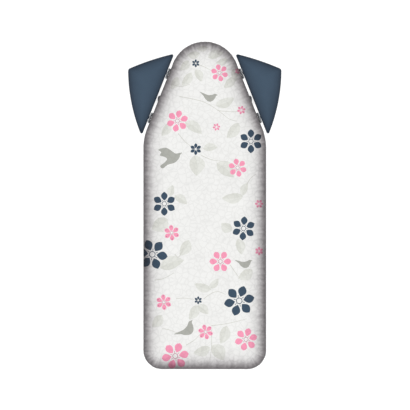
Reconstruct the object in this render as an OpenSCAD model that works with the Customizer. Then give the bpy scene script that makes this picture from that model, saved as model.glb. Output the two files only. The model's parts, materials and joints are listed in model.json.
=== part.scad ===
// Ironing board on crossed folding legs, with two padded shoulder wings hinged to its tapered nose.
// X runs across the board, +Y towards the nose and +Z up.
// The origin is on the floor, under the middle of the board.
// Everything is drawn standing at its full working height with both wings out.

/* [Board] */
// Overall length of the covered board
board_len = 1200; // [1180:5:1440]
// Overall width of the covered board
board_w = 450; // [400:5:540]
// Radius of the round nose
nose_r = 125; // [110:1:140]
// Angle of each tapered side from the long axis
taper_deg = 21.7; // [18:0.1:24]
// Radius where a tapered side turns into the straight side
shoulder_r = 200; // [120:5:220]
// Radius of the two square-end corners
heel_r = 70; // [50:1:90]

/* [Layers] */
// Thickness of the printed cover
cover_t = 1.6; // [1:0.1:2.5]
// Thickness of the felt and foam pad
pad_t = 8; // [5:0.5:12]
// Thickness of the perforated deck
deck_t = 0.6; // [0.5:0.1:1.2]
// Radius of a hole in the deck
deck_hole_r = 18; // [14:0.5:20]
// Height of the rolled rim
rim_h = 23.4; // [21:0.2:27]
// Width of the rim's flanges
rim_flange = 15; // [12:1:20]
// Sheet thickness of the rim, ribs and brackets
sheet_t = 1; // [0.8:0.1:1.5]
// How far the cover turns in under the board
cover_return = 36; // [25:1:45]

/* [Legs] */
// Length of each leg from its top pivot to its foot bar
leg_len = 1080; // [900:5:1150]
// Distance from the top pivot to the crossing axle
leg_upper = 400; // [340:5:415]
// Angle between the legs and the board when standing
stand_deg = 52; // [46:1:56]
// Angle that is left between the legs and the board when folded
fold_deg = 3.5; // [3:0.1:5]
// Distance of the fixed pivot in front of the middle of the board
pivot_y = 270; // [255:1:285]
// Outer radius of a leg tube
tube_r = 11; // [9:0.5:12]
// Wall of a tube
tube_wall = 1.2; // [1:0.1:2]
// Middle of each outer leg tube from the board's middle line
outer_leg_x = 62; // [60:1:64]
// Middle of each inner leg tube from the board's middle line
inner_leg_x = 34; // [33:1:35]
// Length of each foot bar between its caps
foot_bar_len = 370; // [300:5:380]
// Radius of a rubber foot cap
cap_r = 17; // [16:0.5:20]
// How far the flat sole cuts into the foot cap
sole_cut = 1; // [0.5:0.1:2]
// Depth of the leg pivots below the top of the cover
pivot_drop = 52; // [50:0.5:56]

/* [Wings] */
// Thickness of a covered wing
wing_t = 22; // [18:0.5:24]
// Reach of a wing outwards from its hinge line
wing_reach = 139; // [110:1:142]
// Clear gap between the board's edge and a wing
wing_gap = 10; // [9.5:0.1:12]
// Bulge of a wing's long outer edge
wing_bulge = 12.3; // [6:0.1:16]
// How far a wing's top lies below the board's top
wing_step = 1; // [0.5:0.1:2]
// Thickness of the wing's cover
wing_cover_t = 1.2; // [1:0.1:1.5]

/* [Hidden] */
$fn = 64;

fit = 0.06;    // radial clearance of a running fit
slip = 0.5;    // clearance of a part that slides
near = 0.3;    // clearance of a part that nearly touches

// Heights, from the floor up
leg_rise = leg_len * sin(stand_deg);
foot_z = cap_r - sole_cut;
pivot_z = foot_z + leg_rise;
top_z = pivot_z + pivot_drop;
pad_z = top_z - cover_t - pad_t;
deck_z = pad_z - deck_t;
rim_z = pad_z - rim_h;
rib_z = rim_z - 2;
rib_w = 30;

// The crossed legs: the outer pair hangs from the fixed pivot, the inner pair from the slide bar
slide_y = pivot_y - 2 * leg_upper * cos(stand_deg);
slide_fold_y = pivot_y - 2 * leg_upper * cos(fold_deg);
cross_y = pivot_y - leg_upper * cos(stand_deg);
cross_z = pivot_z - leg_upper * sin(stand_deg);
bolt_r = 5;
axle_r = 5;

// Plan of the board: arcs that share their centres at every inset
nose_y = board_len / 2 - nose_r;
edge_d = nose_y * sin(taper_deg) + nose_r;
shoulder_y = (edge_d - shoulder_r - cos(taper_deg) * (board_w / 2 - shoulder_r)) / sin(taper_deg);
heel_y = heel_r - board_len / 2;

// Hinge line of a wing, and the wing's plan beside it: u outwards, v along the edge
hinge_d = edge_d + wing_gap / 2;
hinge_r = 4;
hinge_pin_r = 2.5;
leaf_t = 2;
hinge_z = rim_z - leaf_t + hinge_r;
knuckle = 12;
hinge_len = 3 * knuckle + 4;
edge_hi = nose_y * cos(taper_deg);
edge_lo = shoulder_y * cos(taper_deg) - (board_w / 2 - shoulder_r) * sin(taper_deg);
wing_lo = edge_lo - 31;
wing_hi = edge_hi + 32;
wing_mid = edge_hi - 81;
wing_in = wing_gap / 2;
wing_top = top_z - wing_step;
wing_bot = wing_top - wing_t;
hinge_vs = [edge_lo + 40, edge_hi - 41];

// The carriage that runs along the rails with the slide bar
rail_x = 84;
rail_w = 20;
rail_wall = 2;
rail_bottom = pivot_z - 12;
rail_flange = 14;
rail_front = slide_y + 26;
rail_rear = slide_fold_y - 32;
shoe_len = 36;
spigot_r = 7;
housing_rear = tube_r + 47;
rod_r = 4;
rod_z = pivot_z - tube_r - rod_r - 4;
rod_front = slide_y + 40;
rod_rear = slide_fold_y - housing_rear - 8;
housing_w = 32;
housing_up = 12;
housing_down = 10;
arm_t = 5;
lever_y = slide_y - tube_r - 11;
grip_y = slide_y - tube_r - 41;
handle_x = 212;
lever_pin_x = 11;
lever_pin_r = 2;

steel = [0.78, 0.79, 0.80];
frame_paint = [0.90, 0.91, 0.92];
leg_paint = [0.86, 0.87, 0.89];
dark_plastic = [0.16, 0.20, 0.26];
rubber = [0.13, 0.13, 0.14];
navy = [0.25, 0.33, 0.41];
felt = [0.85, 0.84, 0.80];
print_white = [0.95, 0.95, 0.94];

// ---------- Helpers ----------

// Points of an arc round c, from angle a0 to a1
function arc(c, r, a0, a1, n = 12) =
    [for (i = [0 : n]) let (a = a0 + (a1 - a0) * i / n) c + r * [cos(a), sin(a)]];

// The board's outline, drawn in by inset
function outline(inset) = concat(
    arc([board_w / 2 - heel_r, heel_y], heel_r - inset, -90, 0),
    arc([board_w / 2 - shoulder_r, shoulder_y], shoulder_r - inset, 0, taper_deg, 6),
    arc([0, nose_y], nose_r - inset, taper_deg, 180 - taper_deg, 28),
    arc([shoulder_r - board_w / 2, shoulder_y], shoulder_r - inset, 180 - taper_deg, 180, 6),
    arc([heel_r - board_w / 2, heel_y], heel_r - inset, 180, 270)
);

// Half the board's width at y behind its nose, drawn in by inset
function half_width(y, inset) =
    let (r = heel_r - inset, dy = heel_y - y)
    dy > 0 ? board_w / 2 - heel_r + sqrt(max(r * r - dy * dy, 0)) :
    min(board_w / 2 - inset, (edge_d - inset - y * sin(taper_deg)) / cos(taper_deg));

// The same for all of a strip between two values of y
function strip_half(y0, y1, inset) = min(half_width(y0, inset), half_width(y1, inset));

// Whether a point lies inside the outline drawn in by inset
function inside(x, y, inset) =
    abs(x) < half_width(y, inset) && (y < nose_y || norm([x, y - nose_y]) < nose_r - inset);

// A plate with the board's outline
module slab(inset, z, h) translate([0, 0, z]) linear_extrude(h) polygon(outline(inset));

// A cylinder along X, centred on x
module bar_x(r, len, x = 0) translate([x, 0, 0]) rotate([0, 90, 0]) cylinder(r = r, h = len, center = true);

// A cylinder along Y from y0 to y1
module bar_y(r, y0, y1) translate([0, y1, 0]) rotate([90, 0, 0]) cylinder(r = r, h = y1 - y0);

// A box given by its lowest and highest corners
module box(lo, hi) translate(lo) cube(hi - lo);

// Puts children drawn on one side on that side: 1 is right, -1 is left
module on_side(side) mirror([side < 0 ? 1 : 0, 0, 0]) children();

// A tube along X with closed ends
module closed_tube_x(r, len) difference() {
    bar_x(r, len);
    bar_x(r - tube_wall, len - 6);
}

// Leg coordinates: the origin is at the leg's top pivot and its foot is at y = leg_len
module in_outer_leg() translate([0, pivot_y, pivot_z]) rotate([stand_deg, 0, 0]) mirror([0, 1, 0]) children();
module in_inner_leg() translate([0, slide_y, pivot_z]) rotate([-stand_deg, 0, 0]) children();

// Wing coordinates: x is u, y is v, and the hinge line is x = 0
module in_wing(side) on_side(side)
    translate([hinge_d * cos(taper_deg), hinge_d * sin(taper_deg), 0]) rotate([0, 0, taper_deg]) children();

// Radius of an arc over a chord d that rises by s
function arc_r(d, s) = (d * d / 4 + s * s) / (2 * s);

// Centre of the arc of radius r from p to q, on the left
function arc_c(p, q, r) =
    let (d = norm(q - p), side = [p[1] - q[1], q[0] - p[0]] / d) (p + q) / 2 + side * sqrt(r * r - d * d / 4);

// Where two circles meet, on the right going from a to b
function meet(a, ra, b, rb) =
    let (d = norm(b - a), e = (b - a) / d, k = (d * d + ra * ra - rb * rb) / (2 * d))
    a + k * e + sqrt(ra * ra - k * k) * [e[1], -e[0]];

function heading(v) = atan2(v[1], v[0]);

// A wing's plan, drawn in by inset: two shallow arcs and the straight inner edge, with rounded corners
module wing_plan(inset) {
    inner_tip = [wing_in, wing_lo];
    outer_corner = [wing_reach, wing_mid];
    nose_tip = [wing_in, wing_hi];
    long_r = arc_r(norm(outer_corner - inner_tip), wing_bulge);
    short_r = arc_r(norm(nose_tip - outer_corner), wing_bulge / 3);
    long_c = arc_c(inner_tip, outer_corner, long_r);
    short_c = arc_c(outer_corner, nose_tip, short_r);
    tip_r = max(4 - inset, 0.4);
    corner_r = max(10 - inset, 0.4);
    tip_u = wing_in + inset + tip_r;
    low_c = [tip_u, long_c[1] - sqrt(pow(long_r - inset - tip_r, 2) - pow(tip_u - long_c[0], 2))];
    high_c = [tip_u, short_c[1] + sqrt(pow(short_r - inset - tip_r, 2) - pow(tip_u - short_c[0], 2))];
    out_c = meet(short_c, short_r - inset - corner_r, long_c, long_r - inset - corner_r);
    polygon(concat(
        arc(low_c, tip_r, -180, heading(low_c - long_c), 6),
        arc(long_c, long_r - inset, heading(low_c - long_c), heading(out_c - long_c), 16),
        arc(out_c, corner_r, heading(out_c - long_c), heading(out_c - short_c), 8),
        arc(short_c, short_r - inset, heading(out_c - short_c), heading(high_c - short_c), 12),
        arc(high_c, tip_r, heading(high_c - short_c), 180, 6)
    ));
}

// Points of one ring of a wire at p, whose plane holds the directions a and b
function ring(p, a, b, r, sides) =
    [for (i = [0 : sides - 1]) let (t = 360 * i / sides) p + r * (cos(t) * a + sin(t) * b)];

// A coil spring along +Y
module coil(r, wire_r, len, turns, steps = 14, sides = 8) {
    n = turns * steps;
    pts = [for (i = [0 : n]) let (a = 360 * i / steps, out = [cos(a), 0, sin(a)])
        each ring(out * r + [0, len * i / n, 0], out, [0, 1, 0], wire_r, sides)];
    sides_faces = [for (i = [0 : n - 1], j = [0 : sides - 1]) let (k = (j + 1) % sides)
        [i * sides + j, (i + 1) * sides + j, (i + 1) * sides + k, i * sides + k]];
    first = [for (j = [0 : sides - 1]) j];
    last = [for (j = [sides - 1 : -1 : 0]) n * sides + j];
    polyhedron(pts, concat([first], sides_faces, [last]));
}

// ---------- Board ----------

// Rolled steel rim: a channel that opens inwards
module deck_frame() color(frame_paint) difference() {
    slab(cover_t, rim_z, rim_h - deck_t);
    slab(cover_t + sheet_t, rim_z + sheet_t, rim_h - deck_t - 2 * sheet_t);
    slab(cover_t + rim_flange, rim_z - 1, rim_h + 2);
}

// Perforated steel deck that lies on the rim and the ribs
module deck_sheet() {
    pitch_x = 2.75 * deck_hole_r;
    pitch_y = pitch_x * sqrt(3) / 2;
    margin = rim_flange + deck_hole_r + 5;
    rows = floor((board_len - 2 * margin) / pitch_y);
    cols = ceil(board_w / pitch_x / 2);
    color(steel) translate([0, 0, deck_z]) linear_extrude(deck_t) difference() {
        polygon(outline(cover_t));
        for (row = [0 : rows], col = [-cols : cols]) {
            x = (col + row % 2 / 2) * pitch_x;
            y = margin - board_len / 2 + pitch_y * row;
            if (inside(x, y, margin)) translate([x, y]) rotate(30) circle(r = deck_hole_r, $fn = 6);
        }
    }
}

ear_x = outer_leg_x + tube_r + 3;
bolt_x = rail_x + rail_w + 7;
front_rib_y = rail_front - rib_w / 2;
heel_rib_y = rail_rear + rib_w / 2;
pivot_bolt_x = ear_x + 22;
bolt_places = [
    [bolt_x, front_rib_y], [bolt_x, heel_rib_y], [-bolt_x, front_rib_y], [-bolt_x, heel_rib_y],
    [pivot_bolt_x, pivot_y - 8], [pivot_bolt_x, pivot_y + 8],
    [-pivot_bolt_x, pivot_y - 8], [-pivot_bolt_x, pivot_y + 8],
    [0, front_rib_y + 4], [0, heel_rib_y - 6]
];
frame_bolt_r = 2.5;

// Holes for the frame bolts
module bolt_holes() for (p = bolt_places)
    translate([p[0], p[1], rib_z - 6]) cylinder(r = frame_bolt_r + 0.02, h = 12);

// Pressed channel across the board at y, open above, whose shallow ends rest on the rim
module rib(y) {
    back = y - rib_w / 2;
    front = y + rib_w / 2;
    half = strip_half(back, front, cover_t + rim_flange);
    deep = strip_half(back, front, cover_return + 2);
    tab = strip_half(back, front, cover_t + sheet_t + 4);
    low = rim_z + sheet_t;
    color(frame_paint) difference() {
        union() {
            box([-half, back, low], [half, front, deck_z]);
            box([-deep, back, rib_z], [deep, front, low + 1]);
            box([-tab, back + 6, low], [tab, front - 6, low + sheet_t]);
        }
        box([-half - 1, back + sheet_t, low + sheet_t], [half + 1, front - sheet_t, deck_z + 1]);
        box([sheet_t - deep, back + sheet_t, rib_z + sheet_t],
            [deep - sheet_t, front - sheet_t, low + sheet_t + 1]);
        bolt_holes();
    }
}

module nose_rib() rib(nose_y - 20);
module pivot_rib() rib(pivot_y);
module middle_rib() rib(front_rib_y);
module heel_rib() rib(heel_rib_y);

module foam_pad() color(felt) slab(cover_t + near, pad_z, pad_t);

// Printed cotton over the pad and round the rim, turned in under the board and notched at the hinges
module board_cover() {
    notch = hinge_len / 2 + 2;
    color(print_white) difference() {
        slab(0, rim_z - cover_t, top_z - rim_z + cover_t);
        slab(cover_t, rim_z, top_z - rim_z - cover_t);
        slab(cover_return, rim_z - cover_t - 1, cover_t + 2);
        for (side = [-1, 1], v = hinge_vs) in_wing(side)
            box([-cover_return - 30, v - notch, rim_z - cover_t - 1], [2, v + notch, rim_z]);
    }
}

// Folded bracket under the pivot rib, with one ear for the pivot bolt
module pivot_bracket(side) color(steel) on_side(side) difference() {
    union() {
        box([ear_x, pivot_y - 26, rib_z - 2], [ear_x + 40, pivot_y + 26, rib_z]);
        box([ear_x, pivot_y - 16, pivot_z - 12], [ear_x + 3, pivot_y + 16, rib_z]);
    }
    translate([0, pivot_y, pivot_z]) bar_x(bolt_r + 0.01, 300);
    bolt_holes();
}

module pivot_bracket_left() pivot_bracket(-1);
module pivot_bracket_right() pivot_bracket(1);

// Bolt that the outer legs hang from, with its head on the left
module pivot_bolt() color(steel) translate([0, pivot_y, pivot_z]) {
    bar_x(bolt_r, 2 * ear_x + 26, 4);
    translate([-ear_x - 9, 0, 0]) rotate([0, 90, 0]) cylinder(r = 9, h = 5.7, $fn = 6);
}

module pivot_nut() color(steel) translate([ear_x + 3.3, pivot_y, pivot_z]) rotate([0, 90, 0]) difference() {
    cylinder(r = 9, h = 8, $fn = 6);
    translate([0, 0, -1]) cylinder(r = bolt_r, h = 10);
}

// Channel that opens towards the middle and carries one slide shoe, with a flange that is bolted to the ribs
module slide_rail(side) color(steel) difference() {
    on_side(side) union() {
        box([rail_x, rail_rear, rail_bottom], [rail_x + rail_w, rail_front, rib_z]);
        box([rail_x + rail_w - 1, rail_rear, rib_z - rail_wall],
            [rail_x + rail_w + rail_flange, rail_front, rib_z]);
    }
    on_side(side) box([rail_x - 1, rail_rear - 1, rail_bottom + rail_wall],
        [rail_x + rail_w - rail_wall, rail_front + 1, rib_z - rail_wall]);
    bolt_holes();
}

module slide_rail_left() slide_rail(-1);
module slide_rail_right() slide_rail(1);

// Identical bolts that hold the rails and the brackets under the ribs
module frame_bolts() color(steel) for (p = bolt_places) translate([p[0], p[1], rib_z - rail_wall - 3.5]) {
    cylinder(r = 4.6, h = 3.5, $fn = 6);
    cylinder(r = frame_bolt_r, h = 3.5 + rail_wall + sheet_t + 1);
}

// Plastic plugs that close both ends of each rail
module rail_stops() color(dark_plastic) for (side = [-1, 1], y = [rail_rear, rail_front - 5]) on_side(side)
    box([rail_x, y, rail_bottom + rail_wall], [rail_x + rail_w - rail_wall, y + 5, rib_z - rail_wall]);

// Smooth rod that the clutch plates grip
module guide_rod() color(steel) translate([0, 0, rod_z]) bar_y(rod_r, rod_rear, rod_front);

// Hanger under a rib: a plate from y0 to y1 and a strap at y down to one end of the guide rod
module rod_bracket(y, y0, y1) color(steel) difference() {
    union() {
        box([-9, y - 1.5, rod_z - 8], [9, y + 1.5, rib_z]);
        box([-9, min(y - 1.5, y0), rib_z - rail_wall], [9, max(y + 1.5, y1), rib_z]);
    }
    translate([0, 0, rod_z]) bar_y(rod_r + 0.01, y - 10, y + 10);
    bolt_holes();
}

module rod_bracket_front() rod_bracket(rod_front - 4, front_rib_y - 4, rail_front);
module rod_bracket_rear() rod_bracket(rod_rear + 4, rail_rear, heel_rib_y + 2);

// ---------- Wing hinges ----------

// One hinge plate under the rim, with its two outer knuckles
module bracket_at(v) difference() {
    union() {
        box([-40, v - hinge_len / 2, hinge_z - hinge_r], [0, v + hinge_len / 2, hinge_z - hinge_r + leaf_t]);
        for (end = [-1, 1]) translate([0, v + end * (knuckle + 1), hinge_z])
            bar_y(hinge_r, 1 - knuckle / 2, knuckle / 2 - 1);
    }
    box([-9.4, v - knuckle / 2 - 2, hinge_z - 10], [10, v + knuckle / 2 + 2, hinge_z + 10]);
    translate([0, 0, hinge_z]) bar_y(hinge_pin_r + 0.01, v - 40, v + 40);
}

module hinge_brackets() color(steel) for (side = [-1, 1], v = hinge_vs) in_wing(side) bracket_at(v);

module hinge_pins() color(steel) for (side = [-1, 1], v = hinge_vs) in_wing(side)
    translate([0, 0, hinge_z]) bar_y(hinge_pin_r, v - hinge_len / 2, v + hinge_len / 2);

module hinge_screws() color(steel) for (side = [-1, 1], v = hinge_vs, dv = [-13, 13]) in_wing(side)
    translate([-15, v + dv, hinge_z - hinge_r - 1.6]) cylinder(r1 = 2.8, r2 = 3.8, h = 1.6);

// Spring washers that hold a wing wherever it is left
module hinge_washers() color(steel) for (side = [-1, 1], v = hinge_vs, end = [-1, 1]) in_wing(side)
    translate([0, v + end * (knuckle / 2 + 1.15), hinge_z]) difference() {
        bar_y(hinge_r - 0.2, -0.8, 0.8);
        bar_y(hinge_pin_r + 0.01, -2, 2);
    }

// ---------- Wings ----------

// Pressed dish under a wing's foam
module wing_tray(side) color(frame_paint) in_wing(side) difference() {
    translate([0, 0, wing_bot + wing_cover_t]) linear_extrude(9) wing_plan(wing_cover_t);
    translate([0, 0, wing_bot + wing_cover_t + 1.2]) linear_extrude(9) wing_plan(wing_cover_t + 1.2);
}
module wing_tray_left() wing_tray(-1);
module wing_tray_right() wing_tray(1);

module wing_foam(side) color(felt) in_wing(side)
    translate([0, 0, wing_bot + wing_cover_t + 1.3]) linear_extrude(wing_t - 2 * wing_cover_t - 1.4)
        wing_plan(wing_cover_t + 1.3);
module wing_foam_left() wing_foam(-1);
module wing_foam_right() wing_foam(1);

// Plain cloth round the wing, turned in under the tray
module wing_cover(side) color(navy) in_wing(side) difference() {
    translate([0, 0, wing_bot]) linear_extrude(wing_t) wing_plan(0);
    translate([0, 0, wing_bot + wing_cover_t]) linear_extrude(wing_t - 2 * wing_cover_t)
        wing_plan(wing_cover_t);
    translate([0, 0, wing_bot - 1]) linear_extrude(wing_cover_t + 2) wing_plan(16);
}
module wing_cover_left() wing_cover(-1);
module wing_cover_right() wing_cover(1);

// Strap under a wing with the middle knuckle
module leaf_at(v) difference() {
    union() {
        box([0.5, v - knuckle / 2, wing_bot - leaf_t], [54, v + knuckle / 2, wing_bot]);
        box([20, v - 16, wing_bot - leaf_t], [54, v + 16, wing_bot]);
        box([0.5, v - knuckle / 2, hinge_z], [hinge_r, v + knuckle / 2, wing_bot]);
        translate([0, 0, hinge_z]) bar_y(hinge_r, v - knuckle / 2, v + knuckle / 2);
    }
    translate([0, 0, hinge_z]) bar_y(hinge_pin_r + fit, v - 20, v + 20);
}

module wing_hinge(side) color(steel) in_wing(side) for (v = hinge_vs) leaf_at(v);
module wing_hinge_left() wing_hinge(-1);
module wing_hinge_right() wing_hinge(1);

// ---------- Legs ----------

// One leg tube with closed ends, drilled for the crossing axle
module leg_tube(x, top, clear) difference() {
    translate([x, 0, 0]) bar_y(tube_r, top, leg_len - tube_r + 2);
    translate([x, 0, 0]) bar_y(tube_r - tube_wall, top + 14, leg_len - tube_r - 3);
    translate([x, leg_upper, 0]) bar_x(axle_r + clear, 3 * tube_r);
}

sleeve_r = 12.5;

module outer_leg_tube(side) color(leg_paint) in_outer_leg() difference() {
    leg_tube(side * outer_leg_x, 4, fit);
    bar_x(sleeve_r, 400);
}
module outer_leg_left_tube() outer_leg_tube(-1);
module outer_leg_right_tube() outer_leg_tube(1);

// Cross tube that turns on the pivot bolt
module outer_leg_sleeve() color(leg_paint) in_outer_leg() difference() {
    bar_x(sleeve_r, 2 * ear_x - 1);
    bar_x(bolt_r + fit, 300);
    bar_x(sleeve_r - tube_wall, 2 * (ear_x - 16));
}

brace_y = leg_len - 180;

// Cross tube between a pair of leg tubes
module leg_brace(x) color(leg_paint) translate([0, brace_y, 0]) difference() {
    bar_x(8, 2 * x);
    bar_x(8 - tube_wall, 2 * x - 2 * tube_r - 4);
    for (side = [-1, 1]) translate([side * x, -brace_y, 0]) bar_y(tube_r, 0, leg_len);
}
module outer_leg_brace() in_outer_leg() leg_brace(outer_leg_x);
module inner_leg_brace() in_inner_leg() leg_brace(inner_leg_x);

// Foot bar across the end of a pair of leg tubes
module foot_bar(x) color(leg_paint) translate([0, leg_len, 0]) difference() {
    closed_tube_x(tube_r, foot_bar_len);
    for (side = [-1, 1]) translate([side * x, -leg_len, 0]) bar_y(tube_r, 0, leg_len - tube_r + 2);
}
module rear_foot_bar() in_outer_leg() foot_bar(outer_leg_x);
module front_foot_bar() in_inner_leg() foot_bar(inner_leg_x);

cap_len = 34;

// Rubber cap over the end of a foot bar, with a flat sole
module foot_cap(y, side) color(rubber) on_side(side) translate([foot_bar_len / 2 - 22, y, foot_z])
    difference() {
        rotate([0, 90, 0]) union() {
            cylinder(r = cap_r, h = cap_len - 5);
            translate([0, 0, cap_len - 5]) cylinder(r1 = cap_r, r2 = cap_r - 5, h = 5);
        }
        translate([-1, 0, 0]) rotate([0, 90, 0]) cylinder(r = tube_r, h = 23);
        box([-2, -cap_r, -foot_z - 5], [cap_len + 2, cap_r, -foot_z]);
    }
rear_foot_y = pivot_y - leg_len * cos(stand_deg);
front_foot_y = slide_y + leg_len * cos(stand_deg);
module rear_foot_cap_left() foot_cap(rear_foot_y, -1);
module rear_foot_cap_right() foot_cap(rear_foot_y, 1);
module front_foot_cap_left() foot_cap(front_foot_y, -1);
module front_foot_cap_right() foot_cap(front_foot_y, 1);

module inner_leg_tube(side) color(leg_paint) in_inner_leg() difference() {
    leg_tube(side * inner_leg_x, 2, 0.01);
    bar_x(tube_r, 400);
}
module inner_leg_left_tube() inner_leg_tube(-1);
module inner_leg_right_tube() inner_leg_tube(1);

// Bar at the top of the inner legs, with a spigot at each end for a shoe
module slide_bar() color(leg_paint) in_inner_leg() difference() {
    union() {
        bar_x(tube_r, 2 * (rail_x - 8));
        bar_x(spigot_r, 2 * (rail_x + rail_w - 6));
    }
    bar_x(tube_r - 2 * tube_wall, 2 * (rail_x - 16));
}

axle_half = outer_leg_x + tube_r + 4;

// Axle through both pairs of legs
module cross_axle() color(steel) translate([0, cross_y, cross_z]) bar_x(axle_r, 2 * axle_half + 14);

module axle_nuts() color(dark_plastic) for (side = [-1, 1]) on_side(side)
    translate([outer_leg_x + tube_r + 0.4, cross_y, cross_z]) rotate([0, 90, 0]) difference() {
        union() {
            cylinder(r = 10, h = 6);
            translate([0, 0, 6]) cylinder(r1 = 10, r2 = 6, h = 6);
        }
        translate([0, 0, -1]) cylinder(r = axle_r + 0.01, h = 11.6);
    }

bush_gap = outer_leg_x - inner_leg_x - 2 * tube_r;

// Plain bushes between the legs
module spacer_bushes() color(dark_plastic) for (side = [-1, 1]) on_side(side)
    translate([inner_leg_x + tube_r + 0.3, cross_y, cross_z]) rotate([0, 90, 0]) difference() {
        cylinder(r = 9, h = bush_gap - 0.6);
        translate([0, 0, -1]) cylinder(r = axle_r + 0.01, h = bush_gap + 2);
    }

// ---------- Height clamp ----------

// Nylon block that carries one spigot along its rail
module slide_shoe(side) color(dark_plastic) on_side(side) difference() {
    box([rail_x - 3.5, slide_y - shoe_len / 2, rail_bottom + rail_wall + slip],
        [rail_x + rail_w - rail_wall - slip, slide_y + shoe_len / 2, rib_z - rail_wall - slip]);
    translate([0, slide_y, pivot_z]) bar_x(spigot_r + fit, 2 * (rail_x + rail_w - 5.5));
}
module slide_shoe_left() slide_shoe(-1);
module slide_shoe_right() slide_shoe(1);

// Housing that hangs on the slide bar between the inner legs and runs along the guide rod
module clamp_housing() color(dark_plastic) translate([0, slide_y, rod_z]) difference() {
    hw = housing_w / 2;
    rise = pivot_z - rod_z;
    union() {
        translate([0, 0, rise]) bar_x(tube_r + 3, housing_w);
        box([-hw, -tube_r - 3, -housing_down], [hw, tube_r + 3, rise]);
        box([-hw, -housing_rear, -housing_down], [hw, -tube_r, housing_up]);
    }
    translate([0, 0, rise]) bar_x(tube_r + fit, housing_w + 2);
    bar_y(rod_r + slip, -housing_rear - 1, tube_r + 4);
    box([-hw + 3, -housing_rear + 4, -housing_down - 1], [hw - 3, -tube_r - 8, housing_up - 2]);
    box([3, lever_y - slide_y - 9, -housing_down - 1], [hw + 1, lever_y - slide_y + 8, -3]);
    box([6, grip_y - slide_y - 4, -housing_down - 1], [hw + 1, grip_y - slide_y + 4, -4]);
    translate([lever_pin_x, lever_y - slide_y, -housing_down - 1])
        cylinder(r = lever_pin_r + 0.01, h = housing_down + housing_up + 2);
}

// Two tilted plates that bite on the guide rod
module clutch_plates() color(steel) for (i = [0 : 1])
    translate([0, slide_y - tube_r - 25 - 4 * i, rod_z]) rotate([0, 0, -7]) difference() {
        box([-11, -1, -8.5], [11, 1, 9]);
        bar_y(rod_r + 0.3, -3, 3);
    }

module clutch_spring() color(steel) translate([0, slide_y - tube_r - 41.8, rod_z]) coil(5.4, 0.6, 9, 4);

// Fixed handle beside the release lever
module grip_bar() color(steel)
    box([6, grip_y - 4, rod_z - arm_t - 4], [handle_x, grip_y + 4, rod_z - 4]);

// Rounded plastic sleeve on the outer end of a flat bar at y
module grip(y) color(dark_plastic) translate([0, y, rod_z - 4 - arm_t / 2]) difference() {
    union() {
        bar_x(7.5, handle_x - 118, (handle_x + 122) / 2);
        translate([handle_x + 2, 0, 0]) sphere(r = 7.5);
    }
    box([100, -4, -arm_t / 2], [handle_x, 4, arm_t / 2]);
}
module grip_bar_sleeve() grip(grip_y);

module lever_pin() color(steel)
    translate([lever_pin_x, lever_y, rod_z - 9.5]) cylinder(r = lever_pin_r, h = 9.5 + housing_up);

// Lever that is squeezed towards the fixed handle and pushes the clutch plates square to the rod
module release_lever() color(steel) difference() {
    union() {
        box([lever_pin_x, lever_y - 4, rod_z - arm_t - 4], [handle_x, lever_y + 4, rod_z - 4]);
        translate([lever_pin_x, lever_y, rod_z - arm_t - 4]) cylinder(r = 5, h = arm_t);
    }
    translate([lever_pin_x, lever_y, rod_z - 20]) cylinder(r = lever_pin_r + fit, h = 40);
}
module lever_grip() grip(lever_y);

deck_frame();
deck_sheet();
nose_rib();
pivot_rib();
middle_rib();
heel_rib();
foam_pad();
board_cover();
pivot_bracket_left();
pivot_bracket_right();
pivot_bolt();
pivot_nut();
slide_rail_left();
slide_rail_right();
frame_bolts();
rail_stops();
guide_rod();
rod_bracket_front();
rod_bracket_rear();
hinge_brackets();
hinge_pins();
hinge_screws();
hinge_washers();
outer_leg_left_tube();
outer_leg_right_tube();
outer_leg_sleeve();
outer_leg_brace();
rear_foot_bar();
rear_foot_cap_left();
rear_foot_cap_right();
inner_leg_left_tube();
inner_leg_right_tube();
slide_bar();
inner_leg_brace();
front_foot_bar();
front_foot_cap_left();
front_foot_cap_right();
cross_axle();
axle_nuts();
spacer_bushes();
slide_shoe_left();
slide_shoe_right();
clamp_housing();
clutch_plates();
clutch_spring();
grip_bar();
grip_bar_sleeve();
lever_pin();
release_lever();
lever_grip();
wing_tray_left();
wing_tray_right();
wing_foam_left();
wing_foam_right();
wing_cover_left();
wing_cover_right();
wing_hinge_left();
wing_hinge_right();
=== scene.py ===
"""Looks of a folding ironing board: printed cover, padded shoulder wings, deck, legs and height clamp."""

import json
import logging
import math
from dataclasses import dataclass, field
from enum import Enum

import bmesh
import bpy
import numpy as np
from mathutils import Matrix, Vector
from mathutils.geometry import delaunay_2d_cdt
from mathutils.kdtree import KDTree

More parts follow.
